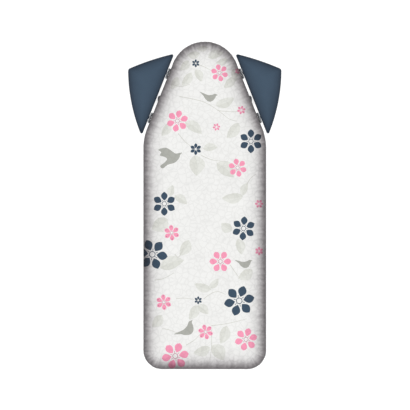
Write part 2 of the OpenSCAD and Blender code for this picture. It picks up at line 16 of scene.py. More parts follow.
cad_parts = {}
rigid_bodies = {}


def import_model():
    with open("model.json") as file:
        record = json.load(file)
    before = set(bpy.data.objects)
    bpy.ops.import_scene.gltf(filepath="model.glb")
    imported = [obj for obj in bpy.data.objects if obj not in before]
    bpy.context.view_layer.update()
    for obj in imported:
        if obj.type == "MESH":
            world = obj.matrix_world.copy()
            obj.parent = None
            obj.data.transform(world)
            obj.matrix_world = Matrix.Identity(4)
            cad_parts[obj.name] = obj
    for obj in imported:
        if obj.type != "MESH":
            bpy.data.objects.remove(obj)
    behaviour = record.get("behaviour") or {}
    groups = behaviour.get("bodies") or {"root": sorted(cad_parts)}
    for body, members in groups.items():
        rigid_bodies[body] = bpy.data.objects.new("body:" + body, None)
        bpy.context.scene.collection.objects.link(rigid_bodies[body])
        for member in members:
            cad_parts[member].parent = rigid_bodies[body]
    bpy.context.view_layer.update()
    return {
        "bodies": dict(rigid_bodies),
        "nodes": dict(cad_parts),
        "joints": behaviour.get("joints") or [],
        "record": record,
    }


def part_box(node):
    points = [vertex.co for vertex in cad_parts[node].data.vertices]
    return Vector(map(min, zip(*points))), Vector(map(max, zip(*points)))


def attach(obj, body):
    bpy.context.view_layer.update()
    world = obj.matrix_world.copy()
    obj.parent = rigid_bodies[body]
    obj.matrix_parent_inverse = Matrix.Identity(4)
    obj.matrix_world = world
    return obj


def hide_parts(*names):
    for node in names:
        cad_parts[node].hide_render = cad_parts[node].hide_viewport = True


log = logging.getLogger("ironing_board")
MM = 0.001
CLEAR = 0.0003
HINGE_PLACES = (0.22525, 0.40034)
Points = np.ndarray
Socket = bpy.types.NodeSocket
Piece = bpy.types.Object
Material = bpy.types.Material
Colour = tuple[float, float, float, float]


def srgb(red: int, green: int, blue: int) -> Colour:
    """Linear colour of three display values from 0 to 255.

    Args:
        red: Red value.
        green: Green value.
        blue: Blue value.

    Returns:
        The linear colour with an alpha of 1.
    """
    parts = [value / 255 for value in (red, green, blue)]
    low = [part / 12.92 if part <= 0.04045 else ((part + 0.055) / 1.055) ** 2.4 for part in parts]
    return (low[0], low[1], low[2], 1.0)


# ---------- Shader helpers ----------


class Graph:
    """Adds and links the nodes of one material or node group."""

    def __init__(self, tree: bpy.types.NodeTree) -> None:
        """Keeps the tree that nodes are added to."""
        self.tree = tree

    def add(self, kind: str, **settings: object) -> bpy.types.Node:
        """Adds a node.

        Args:
            kind: Node type.
            settings: Properties to set on it.

        Returns:
            The new node.
        """
        node = self.tree.nodes.new(kind)
        for key, value in settings.items():
            setattr(node, key, value)
        return node

    def put(self, socket: Socket, value: object) -> None:
        """Links a socket to an output, or sets its value."""
        if isinstance(value, Socket):
            self.tree.links.new(value, socket)
        else:
            socket.default_value = value

    def math(self, operation: str, *values: object) -> Socket:
        """Adds a math node.

        Args:
            operation: What it computes.
            values: Its one to three inputs.

        Returns:
            Its output.
        """
        node = self.add("ShaderNodeMath", operation=operation)
        for socket, value in zip(node.inputs, values):
            self.put(socket, value)
        return node.outputs[0]

    def vector(self, operation: str, first: object, second: object) -> Socket:
        """Adds a vector math node and returns its output."""
        node = self.add("ShaderNodeVectorMath", operation=operation)
        self.put(node.inputs[0], first)
        self.put(node.inputs[1], second)
        return node.outputs[0]

    def mix(self, factor: object, first: object, second: object, blend: str = "MIX") -> Socket:
        """Mixes two colours.

        Args:
            factor: Share of the second.
            first: First colour.
            second: Second colour.
            blend: Blend type.

        Returns:
            The mixed colour.
        """
        node = self.add("ShaderNodeMix", data_type="RGBA", blend_type=blend)
        self.put(node.inputs[0], factor)
        self.put(node.inputs[6], first)
        self.put(node.inputs[7], second)
        return node.outputs[2]

    def times(self, first: object, second: object) -> Socket:
        """Multiplies two colours."""
        return self.mix(1.0, first, second, "MULTIPLY")

    def ramp(self, value: object, stops: list[tuple[float, float]]) -> Socket:
        """Maps a value through a smooth grey ramp.

        Args:
            value: What is mapped, from 0 to 1.
            stops: Positions and grey values.

        Returns:
            The mapped grey.
        """
        node = self.add("ShaderNodeValToRGB")
        node.color_ramp.interpolation = "B_SPLINE"
        marks = node.color_ramp.elements
        while len(marks) < len(stops):
            marks.new(0.5)
        for mark, (place, grey) in zip(marks, stops):
            mark.position = place
            mark.color = (grey, grey, grey, 1)
        self.put(node.inputs[0], value)
        return node.outputs[0]

    def noise(self, vector: object, scale: float, detail: float = 3, rough: float = 0.5) -> Socket:
        """Adds a noise texture and returns its value."""
        node = self.add("ShaderNodeTexNoise")
        self.put(node.inputs["Vector"], vector)
        self.put(node.inputs["Scale"], scale)
        self.put(node.inputs["Detail"], detail)
        self.put(node.inputs["Roughness"], rough)
        return node.outputs["Fac"]

    def bump(self, height: object, distance: float, strength: float = 1) -> Socket:
        """Adds a bump node and returns its normal."""
        node = self.add("ShaderNodeBump")
        self.put(node.inputs["Height"], height)
        self.put(node.inputs["Distance"], distance)
        self.put(node.inputs["Strength"], strength)
        return node.outputs[0]

    def place(self) -> Socket:
        """Object coordinates."""
        return self.add("ShaderNodeTexCoord").outputs["Object"]

    def attribute(self, name: str) -> bpy.types.Node:
        """Attribute node of that name."""
        return self.add("ShaderNodeAttribute", attribute_name=name)

    def group(self, tree: bpy.types.NodeTree, **values: object) -> bpy.types.Node:
        """Places a shared group with its own values.

        Args:
            tree: The group.
            values: Its inputs by name.

        Returns:
            The group node.
        """
        node = self.add("ShaderNodeGroup", node_tree=tree)
        for key, value in values.items():
            self.put(node.inputs[key], value)
        return node


def new_group(name: str, inputs: dict[str, str], outputs: dict[str, str]) -> tuple[Graph, dict, dict]:
    """Makes an empty shader node group.

    Args:
        name: Name of the group.
        inputs: Socket types by name.
        outputs: Socket types by name.

    Returns:
        The graph, its input sockets and its output sockets.
    """
    tree = bpy.data.node_groups.new(name, "ShaderNodeTree")
    for way, sockets in (("INPUT", inputs), ("OUTPUT", outputs)):
        for label, kind in sockets.items():
            tree.interface.new_socket(label, in_out=way, socket_type=kind)
    graph = Graph(tree)
    source = graph.add("NodeGroupInput")
    target = graph.add("NodeGroupOutput")
    return graph, {key: source.outputs[key] for key in inputs}, {key: target.inputs[key] for key in outputs}


class Shared:
    """Node groups that several finishes use, each built once."""

    made: dict[str, bpy.types.NodeTree] = {}

    @classmethod
    def weave(cls) -> bpy.types.NodeTree:
        """Plain weave: threads that pass over and under each other on any side of a piece."""
        if "weave" not in cls.made:
            graph, given, wanted = new_group(
                "Plain weave",
                {"Vector": "NodeSocketVector", "Pitch": "NodeSocketFloat"},
                {"Height": "NodeSocketFloat", "Gap": "NodeSocketFloat"},
            )
            split = graph.add("ShaderNodeSeparateXYZ")
            graph.put(split.inputs[0], given["Vector"])
            turn = graph.math("DIVIDE", math.pi, given["Pitch"])
            warp = cls.thread(graph, split.outputs[0], split.outputs[2], turn)
            weft = cls.thread(graph, split.outputs[1], split.outputs[2], turn)
            over = graph.math("GREATER_THAN", graph.math("MULTIPLY", warp, weft), 0.0)
            round_warp = graph.math("MULTIPLY", graph.math("ABSOLUTE", warp), over)
            under = graph.math("SUBTRACT", 1.0, over)
            round_weft = graph.math("MULTIPLY", graph.math("ABSOLUTE", weft), under)
            height = graph.math("ADD", round_warp, round_weft)
            graph.put(wanted["Height"], height)
            graph.put(wanted["Gap"], graph.math("POWER", graph.math("SUBTRACT", 1.0, height), 3.0))
            cls.made["weave"] = graph.tree
        return cls.made["weave"]

    @staticmethod
    def thread(graph: Graph, across: Socket, down: Socket, turn: Socket) -> Socket:
        """Wave that runs across one set of threads."""
        return graph.math("SINE", graph.math("MULTIPLY", graph.math("ADD", across, down), turn))

    @classmethod
    def mottle(cls) -> bpy.types.NodeTree:
        """Slow and fine unevenness of colour and gloss, and a grain height."""
        if "mottle" not in cls.made:
            graph, given, wanted = new_group(
                "Uneven surface",
                {"Vector": "NodeSocketVector", "Slow": "NodeSocketFloat", "Fine": "NodeSocketFloat",
                 "Amount": "NodeSocketFloat"},
                {"Shade": "NodeSocketFloat", "Grain": "NodeSocketFloat"},
            )
            slow = graph.noise(given["Vector"], given["Slow"], 3)
            fine = graph.noise(given["Vector"], given["Fine"], 2)
            sway = graph.math("SUBTRACT", graph.math("ADD", slow, graph.math("MULTIPLY", fine, 0.4)), 0.7)
            graph.put(wanted["Shade"], graph.math("ADD", 1.0, graph.math("MULTIPLY", sway, given["Amount"])))
            graph.put(wanted["Grain"], fine)
            cls.made["mottle"] = graph.tree
        return cls.made["mottle"]


def fresh_material(name: str) -> tuple[Material, Graph, bpy.types.Node]:
    """Makes a material with one principled shader.

    Args:
        name: Name of the material.

    Returns:
        The material, its graph and its shader node.
    """
    material = bpy.data.materials.new(name)
    material.use_nodes = True
    graph = Graph(material.node_tree)
    shader = material.node_tree.nodes["Principled BSDF"]
    return material, graph, shader


# ---------- Finishes ----------


@dataclass(frozen=True)
class PowderCoat:
    """Satin powder coating with a faint orange peel."""

    name: str
    colour: Colour
    roughness: float = 0.38

    def material(self) -> Material:
        """Builds the material."""
        material, graph, shader = fresh_material(self.name)
        place = graph.place()
        uneven = graph.group(Shared.mottle(), Vector=place, Slow=9.0, Fine=420.0, Amount=0.08)
        tint = graph.times(self.colour, uneven.outputs["Shade"])
        scuff = graph.math("GREATER_THAN", graph.noise(place, 60.0, 8, 0.75), 0.69)
        worn = graph.mix(graph.math("MULTIPLY", scuff, 0.25), tint, srgb(150, 150, 150))
        graph.put(shader.inputs["Base Color"], worn)
        gloss = graph.math("MULTIPLY", uneven.outputs["Shade"], self.roughness)
        graph.put(shader.inputs["Roughness"], gloss)
        graph.put(shader.inputs["Normal"], graph.bump(uneven.outputs["Grain"], 0.00012, 0.5))
        shader.inputs["Coat Weight"].default_value = 0.25
        shader.inputs["Coat Roughness"].default_value = 0.2
        return material


@dataclass(frozen=True)
class Plated:
    """Zinc-plated or galvanised steel with brush marks along one axis."""

    name: str
    colour: Colour
    roughness: float = 0.32
    along: tuple[float, float, float] = (30.0, 30.0, 900.0)
    spangle: float = 0.0

    def material(self) -> Material:
        """Builds the material."""
        material, graph, shader = fresh_material(self.name)
        place = graph.place()
        brushed = graph.noise(graph.vector("MULTIPLY", place, self.along), 1.0, 4, 0.6)
        uneven = graph.group(Shared.mottle(), Vector=place, Slow=24.0, Fine=300.0, Amount=0.22)
        tint = graph.times(self.colour, uneven.outputs["Shade"])
        if self.spangle:
            cells = graph.add("ShaderNodeTexVoronoi", feature="F1")
            graph.put(cells.inputs["Vector"], place)
            graph.put(cells.inputs["Scale"], self.spangle)
            grey = graph.add("ShaderNodeRGBToBW")
            graph.put(grey.inputs[0], cells.outputs["Color"])
            shade = graph.math("ADD", 0.8, graph.math("MULTIPLY", grey.outputs[0], 0.4))
            tint = graph.times(tint, shade)
        graph.put(shader.inputs["Base Color"], tint)
        shader.inputs["Metallic"].default_value = 0.9
        gloss = graph.math("ADD", self.roughness, graph.math("MULTIPLY", brushed, 0.16))
        graph.put(shader.inputs["Roughness"], gloss)
        graph.put(shader.inputs["Normal"], graph.bump(brushed, 0.00008, 0.35))
        return material


@dataclass(frozen=True)
class Moulded:
    """Moulded plastic or rubber with a fine spark-eroded grain."""

    name: str
    colour: Colour
    roughness: float
    grain: float = 0.00025

    def material(self) -> Material:
        """Builds the material."""
        material, graph, shader = fresh_material(self.name)
        place = graph.place()
        uneven = graph.group(Shared.mottle(), Vector=place, Slow=40.0, Fine=1500.0, Amount=0.25)
        specks = graph.math("GREATER_THAN", graph.noise(place, 130.0, 7, 0.7), 0.64)
        dust = graph.math("MULTIPLY", specks, 0.12)
        tint = graph.times(self.colour, uneven.outputs["Shade"])
        graph.put(shader.inputs["Base Color"], graph.mix(dust, tint, srgb(150, 152, 156)))
        graph.put(shader.inputs["Roughness"], graph.math("MULTIPLY", uneven.outputs["Shade"], self.roughness))
        graph.put(shader.inputs["Normal"], graph.bump(uneven.outputs["Grain"], self.grain, 0.5))
        return material


@dataclass(frozen=True)
class Felt:
    """Needled felt with flecks of darker fibre."""

    name: str = "needled felt"
    colour: Colour = srgb(214, 210, 200)

    def material(self) -> Material:
        """Builds the material."""
        material, graph, shader = fresh_material(self.name)
        place = graph.place()
        stretched = graph.vector("MULTIPLY", place, (1.0, 0.45, 1.0))
        fibre = graph.noise(stretched, 900.0, 6, 0.8)
        fleck = graph.math("GREATER_THAN", graph.noise(place, 520.0, 3, 0.6), 0.66)
        uneven = graph.group(Shared.mottle(), Vector=place, Slow=18.0, Fine=160.0, Amount=0.3)
        tint = graph.times(self.colour, uneven.outputs["Shade"])
        flecked = graph.mix(graph.math("MULTIPLY", fleck, 0.5), tint, srgb(120, 124, 134))
        graph.put(shader.inputs["Base Color"], flecked)
        shader.inputs["Roughness"].default_value = 0.95
        shader.inputs["Sheen Weight"].default_value = 0.4
        graph.put(shader.inputs["Normal"], graph.bump(fibre, 0.0008, 0.8))
        return material


@dataclass(frozen=True)
class PrintedCotton:
    """White cotton with its print, faint tone-on-tone veins and a painted grey shade that darkens it towards
    its edges.
    """

    name: str = "printed cotton"
    pitch: float = 0.0011
    reach: float = 0.09

    def material(self) -> Material:
        """Builds the material."""
        material, graph, shader = fresh_material(self.name)
        place = graph.place()
        ink = graph.attribute("Print").outputs["Color"]
        bent = graph.noise(place, 14.0, 3)
        sway = graph.vector("MULTIPLY", self.colour_of_noise(graph, place), (0.02, 0.02, 0))
        swayed = graph.vector("ADD", place, sway)
        veins = graph.add("ShaderNodeTexVoronoi", feature="DISTANCE_TO_EDGE")
        graph.put(veins.inputs["Vector"], swayed)
        graph.put(veins.inputs["Scale"], 52.0)
        faint = graph.ramp(veins.outputs["Distance"], [(0.0, 0.9), (0.06, 0.965), (0.16, 1.0)])
        strong = graph.ramp(veins.outputs["Distance"], [(0.0, 0.83), (0.07, 0.91), (0.22, 1.0)])
        inset = graph.attribute("Inset").outputs["Fac"]
        near_edge = graph.ramp(graph.math("DIVIDE", inset, self.reach), [(0.3, 1.0), (0.75, 0.0)])
        line = graph.mix(near_edge, faint, strong)
        patchy = graph.ramp(bent, [(0.3, 0.955), (0.7, 1.0)])
        toned = graph.times(graph.times(ink, line), patchy)
        # Painted edge shade from here on: the inset, bent by the gathers' puckers and by noise, sets how dark
        # the cloth is painted towards its edge, and the valleys of the gathers are painted darker.
        pucker = graph.attribute("Pucker").outputs["Fac"]
        painted_shade_streak = graph.math("MULTIPLY", graph.math("SUBTRACT", graph.noise(place, 75.0, 4, 0.6), 0.5), 0.014)
        shifted = graph.math("ADD", graph.math("ADD", inset, graph.math("MULTIPLY", pucker, 0.0032)), painted_shade_streak)
        share = graph.math("DIVIDE", shifted, self.reach)
        top = graph.ramp(share, [(0.0, 0.19), (0.093, 0.27), (0.213, 0.5), (0.373, 0.81),
                                  (0.52, 0.91), (0.67, 0.945), (1.0, 1.0)])
        # Below the edge, the cover's sides and hem are painted a grey shade that lightens away from the edge.
        below = graph.math("DIVIDE", graph.math("MULTIPLY", shifted, -1.0), self.reach)
        side = graph.ramp(below, [(0.067, 0.19), (0.2, 0.42), (0.367, 0.6), (0.667, 0.72)])
        shade = graph.math("MAXIMUM", top, side)
        # Violet-grey tint of the painted shade, strongest where the painted shade is darkest.
        border = graph.mix(shade, srgb(228, 218, 226), (1, 1, 1, 1))
        # The print is multiplied by the painted shade and its tint.
        print_with_painted_shade = graph.times(graph.times(toned, border), shade)
        weave = graph.group(Shared.weave(), Vector=place, Pitch=self.pitch)
        # Painted shade in the gaps between the threads: they are mixed towards grey.
        gap = graph.math("MULTIPLY", weave.outputs["Gap"], 0.12)
        graph.put(shader.inputs["Base Color"], graph.mix(gap, print_with_painted_shade, srgb(120, 120, 118)))
        shader.inputs["Roughness"].default_value = 0.86
        shader.inputs["Sheen Weight"].default_value = 0.08
        shader.inputs["Specular IOR Level"].default_value = 0.25
        graph.put(shader.inputs["Normal"], graph.bump(weave.outputs["Height"], 0.00018, 0.5))
        return material

    def colour_of_noise(self, graph: Graph, place: Socket) -> Socket:
        """Noise with its three parts centred on 0, to bend a pattern with."""
        node = graph.add("ShaderNodeTexNoise")
        graph.put(node.inputs["Vector"], place)
        graph.put(node.inputs["Scale"], 38.0)
        return graph.vector("SUBTRACT", node.outputs["Color"], (0.5, 0.5, 0.5))


@dataclass(frozen=True)
class PlainCotton:
    """Dyed plain-woven cotton, with a painted shade that makes it darker towards its seams."""

    name: str
    colour: Colour
    # Colour of the painted shade at the seams and edges.
    edge: Colour
    reach: float = 0.03
    pitch: float = 0.0011

    def material(self) -> Material:
        """Builds the material."""
        material, graph, shader = fresh_material(self.name)
        place = graph.place()
        # Painted shade: the cloth goes from the shade colour where Inset is 0 to its own colour at the reach.
        inset = graph.attribute("Inset").outputs["Fac"]
        blotch = graph.math("MULTIPLY", graph.math("SUBTRACT", graph.noise(place, 30.0, 4), 0.5), 0.006)
        share = graph.math("DIVIDE", graph.math("ADD", inset, blotch), self.reach)
        fade = graph.ramp(share, [(0.0, 0.05), (0.055, 0.32), (0.27, 0.68), (0.6, 0.93), (1.0, 1.0)])
        tint = graph.mix(fade, self.edge, self.colour)
        uneven = graph.group(Shared.mottle(), Vector=place, Slow=12.0, Fine=700.0, Amount=0.16)
        weave = graph.group(Shared.weave(), Vector=place, Pitch=self.pitch)
        toned = graph.times(tint, uneven.outputs["Shade"])
        # Painted shade of the weave: threads are lighter on top and darker where they dip.
        thread = graph.math("ADD", 0.9, graph.math("MULTIPLY", weave.outputs["Height"], 0.13))
        graph.put(shader.inputs["Base Color"], graph.times(toned, thread))
        shader.inputs["Roughness"].default_value = 0.9
        shader.inputs["Sheen Weight"].default_value = 0.06
        shader.inputs["Specular IOR Level"].default_value = 0.2
        graph.put(shader.inputs["Normal"], graph.bump(weave.outputs["Height"], 0.0002, 0.6))
        return material


# ---------- Mesh helpers ----------


def deselect() -> None:
    """Leaves nothing selected."""
    if bpy.context.object and bpy.context.object.mode != "OBJECT":
        bpy.ops.object.mode_set(mode="OBJECT")
    bpy.ops.object.select_all(action="DESELECT")


def only(piece: Piece) -> Piece:
    """Selects one object and makes it active."""
    deselect()
    piece.select_set(True)
    bpy.context.view_layer.objects.active = piece
    return piece


def linked(name: str, data: bpy.types.ID) -> Piece:
    """Makes an object of its data and links it to the scene."""
    piece = bpy.data.objects.new(name, data)
    bpy.context.scene.collection.objects.link(piece)
    return piece


def smoothed(piece: Piece, angle: float) -> Piece:
    """Smooths a piece's faces below an angle in degrees."""
    only(piece)
    bpy.ops.object.shade_smooth_by_angle(angle=math.radians(angle))
    return piece


def from_faces(name: str, points: list | Points, faces: list) -> Piece:
    """Makes an object from points and faces.

    Args:
        name: Name of the piece.
        points: Its points in metres.
        faces: Its faces.

    Returns:
        The new object, linked and active.
    """
    mesh = bpy.data.meshes.new(name)
    mesh.from_pydata([tuple(map(float, point)) for point in points], [], faces)
    mesh.update()
    return only(linked(name, mesh))


def apply(piece: Piece, kind: str, **settings: object) -> Piece:
    """Adds a modifier and applies it.

    Args:
        piece: The piece.
        kind: Modifier type.
        settings: Its properties.

    Returns:
        The piece.
    """
    modifier = piece.modifiers.new(kind.title(), kind)
    for key, value in settings.items():
        setattr(modifier, key, value)
    only(piece)
    bpy.ops.object.modifier_apply(modifier=modifier.name)
    return piece


def settle(piece: Piece, angle: float = 40) -> Piece:
    """Merges doubles, turns faces outwards, smooths below an angle and puts the origin in place.

    Args:
        piece: The piece.
        angle: Largest angle that is smoothed, in degrees.

    Returns:
        The piece.
    """
    only(piece)
    bpy.ops.object.transform_apply(location=True, rotation=True, scale=True)
    bpy.ops.object.mode_set(mode="EDIT")
    bpy.ops.mesh.select_all(action="SELECT")
    bpy.ops.mesh.remove_doubles(threshold=1e-6)
    bpy.ops.mesh.normals_make_consistent(inside=False)
    bpy.ops.object.mode_set(mode="OBJECT")
    bpy.ops.object.shade_smooth_by_angle(angle=math.radians(angle))
    return piece


def turned(name: str, profile: list[tuple[float, float]], steps: int = 40) -> Piece:
    """Spins a profile round the X axis.

    Args:
        name: Name of the piece.
        profile: Places along X and radii, in millimetres.
        steps: Number of steps of the spin.

    Returns:
        The piece, with its axis on X.
    """
    mesh = bpy.data.meshes.new(name)
    rows = [(place * MM, 0.0, radius * MM) for place, radius in profile]
    mesh.from_pydata(rows, [(i, i + 1) for i in range(len(rows) - 1)], [])
    piece = only(linked(name, mesh))
    bpy.ops.object.mode_set(mode="EDIT")
    bpy.ops.mesh.select_all(action="SELECT")
    bpy.ops.mesh.spin(steps=steps, angle=2 * math.pi, center=(0, 0, 0), axis=(1, 0, 0))
    return settle(piece, 35)


def placed_copy(piece: Piece, name: str, matrix: Matrix) -> Piece:
    """Copies a piece with a mesh of its own.

    Args:
        piece: What is copied.
        name: Name of the copy.
        matrix: Where the copy goes.

    Returns:
        The copy, with its place in its mesh.
    """
    mesh = piece.data.copy()
    mesh.transform(matrix)
    if matrix.determinant() < 0:
        mesh.flip_normals()
    return linked(name, mesh)


def joined(name: str, parts: list[Piece]) -> Piece:
    """Joins parts into one piece.

    Args:
        name: Name of the piece.
        parts: What is joined.

    Returns:
        The joined piece.
    """
    deselect()
    for part in parts:
        part.select_set(True)
    bpy.context.view_layer.objects.active = parts[0]
    bpy.ops.object.join()
    parts[0].name = name
    parts[0].data.name = name
    return parts[0]


def swept(name: str, path: Points, radius: float, closed: bool, sides: int = 2) -> Piece:
    """Sweeps a round bar along a path.

    Args:
        name: Name of the piece.
        path: Points in metres.
        radius: Radius of the bar.
        closed: Whether the path is a loop.
        sides: Roundness of the section.

    Returns:
        The piece as a mesh.
    """
    curve = bpy.data.curves.new(name, "CURVE")
    curve.dimensions = "3D"
    curve.bevel_depth = radius
    curve.bevel_resolution = sides
    curve.use_fill_caps = True
    spline = curve.splines.new("POLY")
    spline.points.add(len(path) - 1)
    for mark, point in zip(spline.points, path):
        mark.co = (*map(float, point), 1)
    spline.use_cyclic_u = closed
    only(linked(name, curve))
    bpy.ops.object.convert(target="MESH")
    return settle(bpy.context.object, 50)


def read_points(piece: Piece) -> Points:
    """All points of a piece's mesh."""
    points = np.empty(len(piece.data.vertices) * 3, np.float32)
    piece.data.vertices.foreach_get("co", points)
    return points.reshape(-1, 3).astype(float)


def write_points(piece: Piece, points: Points) -> None:
    """Moves all points of a piece's mesh."""
    piece.data.vertices.foreach_set("co", points.astype(np.float32).ravel())
    piece.data.update()


def store(piece: Piece, name: str, values: Points) -> None:
    """Writes one number per point as an attribute."""
    layer = piece.data.attributes.new(name, "FLOAT", "POINT")
    layer.data.foreach_set("value", np.asarray(values, np.float32))


def dress(piece: Piece, material: Material) -> Piece:
    """Gives a piece its material in every slot."""
    if not piece.material_slots:
        piece.data.materials.append(material)
    for place in piece.material_slots:
        place.material = material
    return piece


def smooth_closed(points: list[tuple[float, float]], steps: int = 6) -> Points:
    """Smooth closed curve through points.

    Args:
        points: Points it passes through.
        steps: Points per stretch.

    Returns:
        The curve's points.
    """
    knots = np.array(points, float)
    return spline_points(np.roll(knots, 1, 0), knots, np.roll(knots, -1, 0), np.roll(knots, -2, 0), steps)


def smooth_open(points: list[tuple[float, float]], steps: int = 6) -> Points:
    """Smooth open curve through points.

    Args:
        points: Points it passes through.
        steps: Points per stretch.

    Returns:
        The curve's points.
    """
    knots = np.array([points[0], *points, points[-1]], float)
    body = spline_points(knots[:-3], knots[1:-2], knots[2:-1], knots[3:], steps)
    return np.vstack([body, knots[-1]])


def spline_points(before: Points, start: Points, end: Points, after: Points, steps: int) -> Points:
    """Catmull-Rom points of several stretches.

    Args:
        before: Knot before each stretch.
        start: Knot where each stretch starts.
        end: Knot where each stretch ends.
        after: Knot after each stretch.
        steps: Points per stretch.

    Returns:
        All points in order.
    """
    part = (np.arange(steps) / steps)[None, :, None]
    p0, p1, p2, p3 = (knots[:, None, :] for knots in (before, start, end, after))
    rows = 0.5 * (2 * p1 + (p2 - p0) * part + (2 * p0 - 5 * p1 + 4 * p2 - p3) * part**2
                  + (3 * p1 - p0 - 3 * p2 + p3) * part**3)
    return rows.reshape(-1, before.shape[1])


# ---------- Plans ----------


def signed_area(loop: Points) -> float:
    """Area inside a plan loop, positive if it runs anticlockwise."""
    after = np.roll(loop, -1, 0)
    return 0.5 * float(np.sum(loop[:, 0] * after[:, 1] - after[:, 0] * loop[:, 1]))


def numbered(loops: list[Points], start: int = 0) -> list[list[int]]:
    """Indices of each loop's points, counted on from start."""
    rows = []
    for loop in loops:
        rows.append(list(range(start, start + len(loop))))
        start += len(loop)
    return rows


def arc(centre: tuple[float, float], radius: float, start: float, end: float,
        count: int) -> tuple[Points, Points]:
    """Points and outward normals of an arc, without its last point.

    Args:
        centre: Its centre.
        radius: Its radius.
        start: First angle in radians.
        end: Last angle in radians.
        count: Number of points.

    Returns:
        The points and their normals.
    """
    turn = start + (end - start) * np.arange(count) / count
    normal = np.column_stack([np.cos(turn), np.sin(turn)])
    return np.array(centre) + radius * normal, normal


def straight(start: Points, end: Points, count: int) -> tuple[Points, Points]:
    """Points and outward normals of a straight run, without its last point."""
    run = end - start
    points = start + run * (np.arange(count) / count)[:, None]
    normal = np.array([run[1], -run[0]]) / np.linalg.norm(run)
    return points, np.repeat(normal[None], count, 0)


class Ring:
    """A closed outline with its normals, and the distance of any point from it."""

    def __init__(self, arcs: list[tuple], step: float, counts: list[int] | None = None) -> None:
        """Samples arcs that are joined by straight runs.

        Args:
            arcs: Centre, radius, first and last angle of each arc, anticlockwise.
            step: Distance between points.
            counts: Points of each arc and run in turn, to match another ring.
        """
        rows: list[tuple[Points, Points]] = []
        self.zones: list[int] = []
        self.counts: list[int] = []
        for index, (centre, radius, start, end) in enumerate(arcs):
            bends = counts[2 * index] if counts else max(3, round(abs(end - start) * radius / step))
            rows.append(arc(centre, radius, start, end, bends))
            after = arcs[(index + 1) % len(arcs)]
            leave = np.array(centre) + radius * np.array([math.cos(end), math.sin(end)])
            reach = np.array(after[0]) + after[1] * np.array([math.cos(after[2]), math.sin(after[2])])
            gap = float(np.linalg.norm(reach - leave))
            runs = counts[2 * index + 1] if counts else (max(1, round(gap / step)) if gap > step / 2 else 0)
            if runs:
                rows.append(straight(leave, reach, runs))
            self.counts += [bends, runs]
            self.zones += [index] * bends + [-1] * runs
        self.base = np.vstack([row[0] for row in rows])
        self.normal = np.vstack([row[1] for row in rows])
        gaps = np.linalg.norm(np.roll(self.base, -1, 0) - self.base, axis=1)
        self.along = np.concatenate([[0], np.cumsum(gaps)[:-1]])
        self.length = float(gaps.sum())
        self.tree = KDTree(len(self.base))
        for index, point in enumerate(self.base):
            self.tree.insert((*point, 0), index)
        self.tree.balance()

    def offset(self, out: float) -> Points:
        """The outline moved outwards."""
        return self.base + out * self.normal

    def nearest(self, points: Points) -> tuple[Points, Points]:
        """Index of the nearest sample and signed distance outwards, for each point."""
        index = np.array([self.tree.find((point[0], point[1], 0))[1] for point in points])
        return index, np.einsum("ij,ij->i", points - self.base[index], self.normal[index])


@dataclass(frozen=True)
class BoardPlan:
    """Plan of the board, whose arcs keep their centres at every inset."""

    length: float = 1.2
    width: float = 0.45
    nose_r: float = 0.125
    taper: float = math.radians(21.7)
    shoulder_r: float = 0.2
    heel_r: float = 0.07
    wing_gap: float = 0.01

    @property
    def nose_y(self) -> float:
        """Centre of the nose."""
        return self.length / 2 - self.nose_r

    @property
    def edge_d(self) -> float:
        """Distance of a tapered edge from the middle of the board."""
        return self.nose_y * math.sin(self.taper) + self.nose_r

    @property
    def shoulder_y(self) -> float:
        """Centre of a shoulder."""
        side = math.cos(self.taper) * (self.width / 2 - self.shoulder_r)
        return (self.edge_d - self.shoulder_r - side) / math.sin(self.taper)

    def ring(self, step: float) -> Ring:
        """The whole outline, anticlockwise from the right heel corner."""
        heel = (self.width / 2 - self.heel_r, self.heel_r - self.length / 2)
        shoulder = (self.width / 2 - self.shoulder_r, self.shoulder_y)
        half, full, lean = math.pi / 2, math.pi, self.taper
        return Ring(
            [
                (heel, self.heel_r, -half, 0),
                (shoulder, self.shoulder_r, 0, lean),
                ((0, self.nose_y), self.nose_r, lean, full - lean),
                ((-shoulder[0], shoulder[1]), self.shoulder_r, full - lean, full),
                ((-heel[0], heel[1]), self.heel_r, full, full + half),
            ],
            step,
        )

    def beside(self, u: float, v: float, side: int) -> tuple[float, float]:
        """Plan place of a point u outside a hinge line and v along it."""
        out = self.edge_d + self.wing_gap / 2 + u
        x = out * math.cos(self.taper) - v * math.sin(self.taper)
        y = out * math.sin(self.taper) + v * math.cos(self.taper)
        return side * x, y

    def wing_matrix(self, side: int) -> Matrix:
        """Takes wing coordinates (u, v, z) to the board's."""
        start = self.beside(0, 0, 1)
        place = Matrix.Translation((start[0], start[1], 0)) @ Matrix.Rotation(self.taper, 4, "Z")
        return Matrix.Diagonal((side, 1, 1, 1)) @ place


